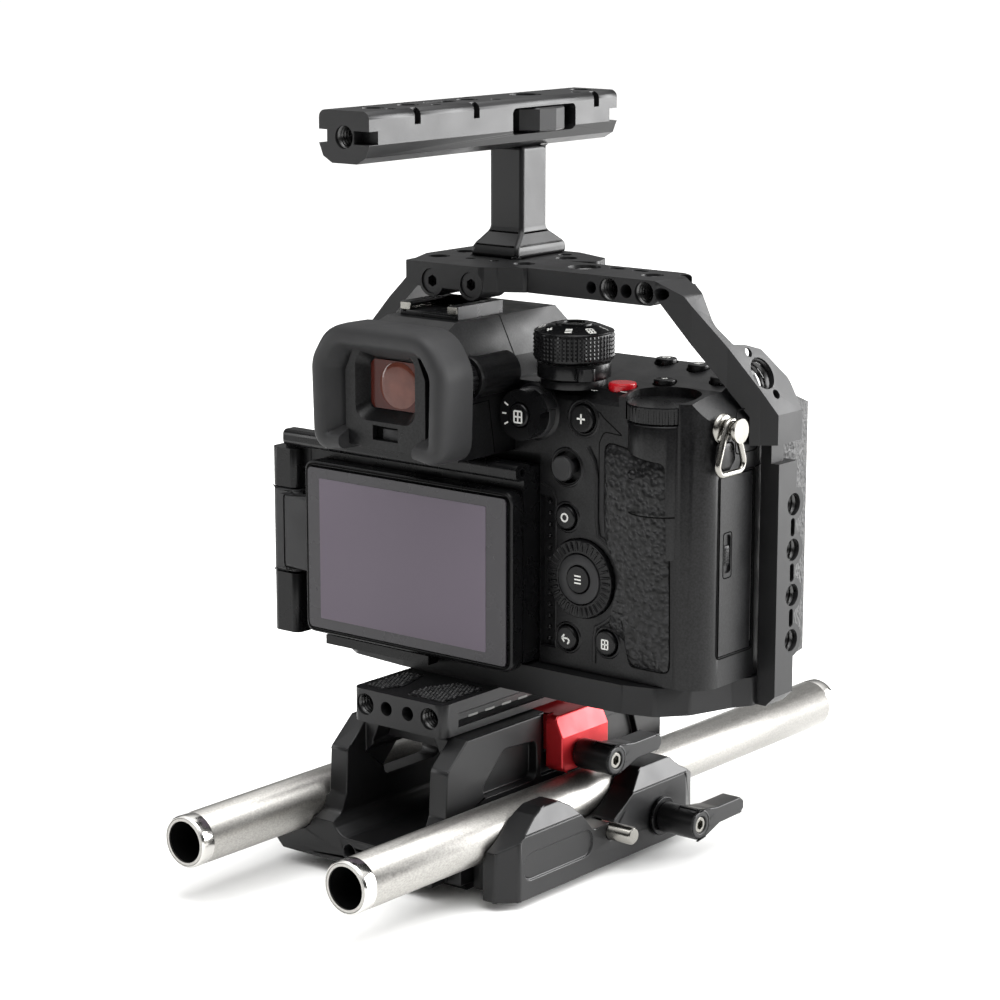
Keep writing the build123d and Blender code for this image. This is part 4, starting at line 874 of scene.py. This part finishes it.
def build_dials():
    """Knurled mode dial, ribbed wheel and the cut edges of the small dials"""
    steps = 168
    depth = bpy.context.scene.rig_look.knurl_depth * 1000.0
    rows = [(10.6, 131.2), (11.1, 131.6)] + [(11.15, 132.0 + 0.56 * k) for k in range(13)]
    rows += [(11.1, 138.9), (11.3, 139.2), (11.1, 139.5), (6.6, 141.2), (6.3, 141.0), (5.4, 141.0),
             (5.3, 141.45), (4.9, 141.6), (3.2, 141.6), (3.1, 141.2), (0.05, 141.2)]

    def knurl(t, k):
        i = round(t * steps / (2 * math.pi))
        return depth if 2 < k < 15 and k % 2 and i % 3 == 1 else 0.0
    v, f = lathe_mesh([(r, z - 131.2) for r, z in rows], (MODE_X, MODE_Y, 131.2), UPWARDS, steps, wave=knurl)
    dial = mesh_piece("mode_dial_knurled", v, f, SMOOTH, "mode", angle=20)
    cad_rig.replaces(dial, "mode_dial")
    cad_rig.slot(dial, "control_plastic")
    marks, signs = [], ["1", "2", "3", "4", "bar", "ring", "plus", "lines", "box"]
    for k, sign in enumerate(signs):
        a = 2 * math.pi * k / len(signs) + 0.3
        d = Vector((math.cos(a), math.sin(a), 0))
        c = Vector((MODE_X, MODE_Y, 140.36)) + d * 8.9
        marks.append(sign_mesh(sign, c, Vector(UPWARDS).cross(d), -d * 0.936 + Vector((0, 0, 0.353)),
                               2.9, 0.42))
    v, f = join(marks)
    mesh_piece("mode_dial_marks", v, f, INK, "mode", smooth=False)
    # ribs round the wheel's rim and its smooth inner disc
    x, z = WHEEL_X, WHEEL_Z
    parts = []
    for k in range(34):
        a = 2 * math.pi * k / 34
        c, d = Vector((x, 84.9, z)), Vector((math.cos(a), 0, math.sin(a)))
        parts.append(tube_mesh([c + d * 8.1 + Vector((0, 0.05, 0)), c + d * 9.2 - Vector((0, 0.12, 0)),
                                c + d * 10.7 + Vector((0, 0.1, 0))], 0.42, False, 8))
    v, f = join(parts)
    mesh_piece("wheel_ribs", v, f, SMOOTH, "wheel", angle=50)
    v, f = lathe_mesh([(7.1, 0.0), (7.05, 0.25), (6.8, 0.42), (4.6, 0.42), (4.2, 0.3), (4.15, 0.0)],
                      (x, 84.95, z), BACKWARDS, 64, closed=False)
    mesh_piece("wheel_disc", v, f, GREY, "wheel", angle=40)


def build_plate_details():
    """Printed scale, knurled pads and the plate's small trims"""
    parts = []
    for side in (-1, 1):
        for k in range(9):
            y = 70.0 + 7.6 * k
            parts.append(ribbon([(side * 14.87, y, 28.7), (side * 14.87, y + 4.2, 28.7)],
                                (side, 0, 0), 0.9, 0.03))
    v, f = join(parts)
    mesh_piece("plate_scale", v, f, GREYINK, "head", smooth=False)
    # diamond knurling on the two rubber pads
    parts = []
    for name, zone in (("l", [(-14.0, 59.6), (-8.0, 59.6), (-6.0, 65.0), (-9.0, 77.0), (-14.0, 77.0)]),
                       ("r", [(1.2, 60.2), (14.0, 59.6), (14.0, 77.4), (5.4, 77.4), (1.2, 68.2)])):
        def inside(px, py):
            odd = False
            for i, (ax, ay) in enumerate(zone):
                bx, by = zone[i - 1]
                if (ay > py) != (by > py) and px < (bx - ax) * (py - ay) / (by - ay) + ax:
                    odd = not odd
            return odd
        pitch = 1.25
        for i in range(-14, 15):
            for j in range(40, 66):
                px, py = i * pitch + (j % 2) * pitch / 2, j * pitch
                if not inside(px, py):
                    continue
                h, c = pitch * 0.56, (px, py)
                base = [(c[0] + h, c[1], 35.28), (c[0], c[1] + h, 35.28), (c[0] - h, c[1], 35.28),
                        (c[0], c[1] - h, 35.28)]
                parts.append((base + [(c[0], c[1], 35.72)], [(0, 1, 4), (1, 2, 4), (2, 3, 4), (3, 0, 4)]))
    v, f = join(parts)
    pads = mesh_piece("plate_pad_knurl", v, f, LEATHER, "head", smooth=False)
    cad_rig.slot(pads, "grip_rubber")


def build_body_form():
    """Pillar cap, drum step and shoulder panel that soften the camera shell"""
    v, f = lathe_mesh([(8.6, 0.0), (8.5, 0.5), (7.9, 1.1), (7.3, 1.3)], (DRUM_X, 87.2, DRUM_Z), BACKWARDS, 56,
                      closed=False)
    mesh_piece("drum_seat", v, f, BODY, "head", angle=50)
    v, f = lathe_mesh([(7.28, 0.0), (7.34, 0.2), (7.34, 2.6), (7.2, 2.8), (7.0, 2.9)], (DRUM_X, 86.0, DRUM_Z),
                      BACKWARDS, 64, closed=False)
    mesh_piece("drum_band", v, f, GREY, "focus_mode", angle=40)
    marks = []
    for a in (150, 180, 210):
        d = Vector((math.cos(math.radians(a)), 0, math.sin(math.radians(a))))
        c = Vector((DRUM_X, 78.98, DRUM_Z))
        marks.append(ribbon([c + d * 4.7, c + d * 6.2], BACKWARDS, 0.45))
    v, f = join(marks)
    mesh_piece("drum_marks", v, f, INK, "focus_mode", smooth=False)
    v, f = lathe_mesh([(10.1, 0.0), (10.0, 0.25), (9.7, 0.4), (9.3, 0.45)],
                      (THUMB_X, THUMB_Y, 116.9), UPWARDS, 64,
                      closed=False)
    mesh_piece("dial_seat", v, f, SMOOTH, "head", angle=50)


def build_ink():
    """Small generic marks on the controls, with no lettering"""
    right, up = RIGHTWARDS, UPWARDS
    sets = {
        "set_button_key": [sign_mesh("lines", (WHEEL_X, 84.27, WHEEL_Z), right, up, 3.4, 0.4)],
        "focus_start_button_key": [sign_mesh("plus", (42.9, 85.27, 115.9), right, up, 4.2, 0.5)],
        "quick_menu_button_key": [sign_mesh("ring", (37.3, 85.27, 87.2), right, up, 3.4, 0.5)],
        "return_button_key": [sign_mesh("back", (37.9, 85.27, 52.4), right, up, 4.0, 0.5)],
        "display_button_key": [sign_mesh("box", (51.7, 85.27, 53.1), right, up, 3.2, 0.38)],
        "focus_push": [sign_mesh("box", (DRUM_X, 78.17, DRUM_Z), right, up, 4.0, 0.45)],
        "exposure_button_key": [sign_mesh("plus", (57.9, 103.9, 126.45), right, FORWARDS, 3.0, 0.4)],
        "gain_button_key": [sign_mesh("lines", (60.9, 116.0, 129.45), right, FORWARDS, 3.0, 0.4)],
        "balance_button_key": [sign_mesh("ring", (48.6, 117.6, 129.75), right, FORWARDS, 3.0, 0.4)],
    }
    for body, parts in sets.items():
        v, f = join(parts)
        mesh_piece("mark_" + body.replace("_key", ""), v, f, INK, body, smooth=False)
    parts = [ribbon([(x, y, z), (x + 2.2, y, z)], UPWARDS, 0.35, 0.04)
             for x, y, z in ((44.0, 88.6, 123.78), (52.6, 90.4, 124.0))]
    v, f = join(parts)
    mesh_piece("mark_deck", v, f, INK, "head", smooth=False)


def build_stage():
    """Sets up the studio: floor, lights, surroundings and view."""
    mesh = bpy.data.meshes.new("studio_floor")
    s = 14.0
    mesh.from_pydata([(-s, -s, 0), (s, -s, 0), (s, s, 0), (-s, s, 0)], [], [(0, 1, 2, 3)])
    floor = bpy.data.objects.new("studio_floor", mesh)
    mesh.materials.append(MATS[PAPER])
    bpy.context.scene.collection.objects.link(floor)
    floor.location.z = -0.0004
    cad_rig.stage(floor)

    def light(name, where, aim, size, watts, colour="FFFFFF"):
        data = bpy.data.lights.new(name, "AREA")
        data.shape, data.size, data.size_y, data.energy = "RECTANGLE", size[0], size[1], watts
        data.color = linear(colour)[:3]
        obj = bpy.data.objects.new(name, data)
        obj.location = where
        obj.rotation_euler = (Vector(aim) - Vector(where)).to_track_quat("-Z", "Y").to_euler()
        obj.visible_camera = False
        bpy.context.scene.collection.objects.link(obj)
        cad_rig.stage(obj)

    light("front_right_softbox", (1.05, 1.20, 0.42), (0, 0, 0.10), (1.3, 1.0), 62)
    light("overhead_softbox", (0.45, -0.10, 1.7), (0, 0, 0.1), (1.6, 1.4), 24)
    light("rear_top_strip", (-0.85, 1.25, 0.45), (0, 0, 0.2), (1.2, 0.5), 0.4)
    light("left_strip", (-1.3, -0.75, 0.35), (0, 0, 0.1), (0.3, 0.8), 5)
    # a pale tent: bright overhead, dim low down, and plain white where it is seen directly
    world = bpy.data.worlds.new("studio")
    world.use_nodes = True
    t = world.node_tree
    t.nodes.clear()
    sky = add_node(t, "ShaderNodeTexCoord").outputs["Generated"]
    height = add_node(t, "ShaderNodeSeparateXYZ", {"Vector": sky})
    glow = add_node(t, "ShaderNodeMapRange", {"Value": height.outputs["Z"]})
    for key, value in (("From Min", 0.36), ("From Max", 1.0), ("To Min", 0.02), ("To Max", 2.35)):
        glow.inputs[key].default_value = value
    tent = add_node(t, "ShaderNodeBackground", {"Strength": glow.outputs["Result"]}, Color=linear("FFFFFF"))
    plain = add_node(t, "ShaderNodeBackground", Color=linear("FAFAFA"), Strength=1.0)
    seen = add_node(t, "ShaderNodeLightPath").outputs["Is Camera Ray"]
    both = add_node(t, "ShaderNodeMixShader", {"Fac": seen})
    t.links.new(tent.outputs[0], both.inputs[1])
    t.links.new(plain.outputs[0], both.inputs[2])
    t.links.new(both.outputs[0], add_node(t, "ShaderNodeOutputWorld").inputs["Surface"])
    bpy.context.scene.world = world

    cam = bpy.data.objects.new("camera", bpy.data.cameras.new("camera"))
    cam.data.sensor_width, cam.data.lens = 36.0, 103.49
    cam.data.clip_end = 60.0
    az, el = math.radians(38.865), math.radians(12.065)
    look = Vector((-math.sin(az) * math.cos(el), math.cos(az) * math.cos(el), -math.sin(el)))
    cam.location = place((516.9, -538.6, 260.4))
    cam.rotation_euler = look.to_track_quat("-Z", "Y").to_euler()
    bpy.context.scene.collection.objects.link(cam)
    bpy.context.scene.camera = cam
    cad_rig.stage(cam)
    bpy.context.scene.view_settings.view_transform = "Standard"


STEPS = [("materials", "Materials", build_materials), ("frame", "Dress the CAD frame", dress_frame),
         ("threads", "Thread ridges", build_threads), ("rods", "Rod ends", build_rods),
         ("display", "Display", build_display), ("finder", "Eyecup and eyepiece", build_finder),
         ("shoe", "Accessory shoe", build_shoe), ("thumb_rest", "Thumb rest", build_thumb_rest),
         ("back_details", "Back details", build_back_details),
         ("side_details", "Side details", build_side_details),
         ("lug_guard", "Strap ring guard", build_lug_guard), ("dials", "Dials", build_dials),
         ("plate_details", "Plate details", build_plate_details),
         ("body_form", "Shell form", build_body_form), ("ink", "Printed marks", build_ink),
         ("stage", "Studio stage", build_stage)]


def make_operator(key, label, step):
    """An operator class that runs one step."""
    def execute(self, context):
        return finish_step(step)
    return type("RIG_OT_" + key, (bpy.types.Operator,), {
        "__doc__": step.__doc__ or label, "bl_idname": "rig." + key, "bl_label": label,
        "execute": execute})


OPERATORS = [make_operator(*s) for s in STEPS]


class RIG_PT_panel(bpy.types.Panel):
    """Buttons that build the rig's looks"""
    bl_label, bl_idname = "Cinema camera rig", "RIG_PT_panel"
    bl_space_type, bl_region_type, bl_category = "VIEW_3D", "UI", "Rig"

    def draw(self, context):
        for op in OPERATORS:
            self.layout.operator(op.bl_idname)


def register():
    """Registers the classes and gives the scene its look settings."""
    for cls in [RIG_PG_look, *OPERATORS, RIG_PT_panel]:
        bpy.utils.register_class(cls)
    bpy.types.Scene.rig_look = bpy.props.PointerProperty(type=RIG_PG_look)


def unregister():
    """Takes back what register did."""
    del bpy.types.Scene.rig_look
    for cls in [RIG_PT_panel, *reversed(OPERATORS), RIG_PG_look]:
        bpy.utils.unregister_class(cls)


def sizes(path, frame_box, shown_box):
    """Writes the corners of both boxes in millimetres."""
    with open(path, "w") as out:
        json.dump({"frame": [[round(c * 1000, 2) for c in p] for p in frame_box],
                   "shown": [[round(c * 1000, 2) for c in p] for p in shown_box]}, out)


def main():
    """Loads the frame, runs every step and writes the sizes."""
    register()
    FRAME.update(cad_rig.load())
    frame_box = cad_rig.bounds()
    for key, _, _ in STEPS:
        getattr(bpy.ops.rig, key)()
    bpy.context.view_layer.update()
    sizes("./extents.json", frame_box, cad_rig.bounds())


if __name__ == "__main__":
    main()
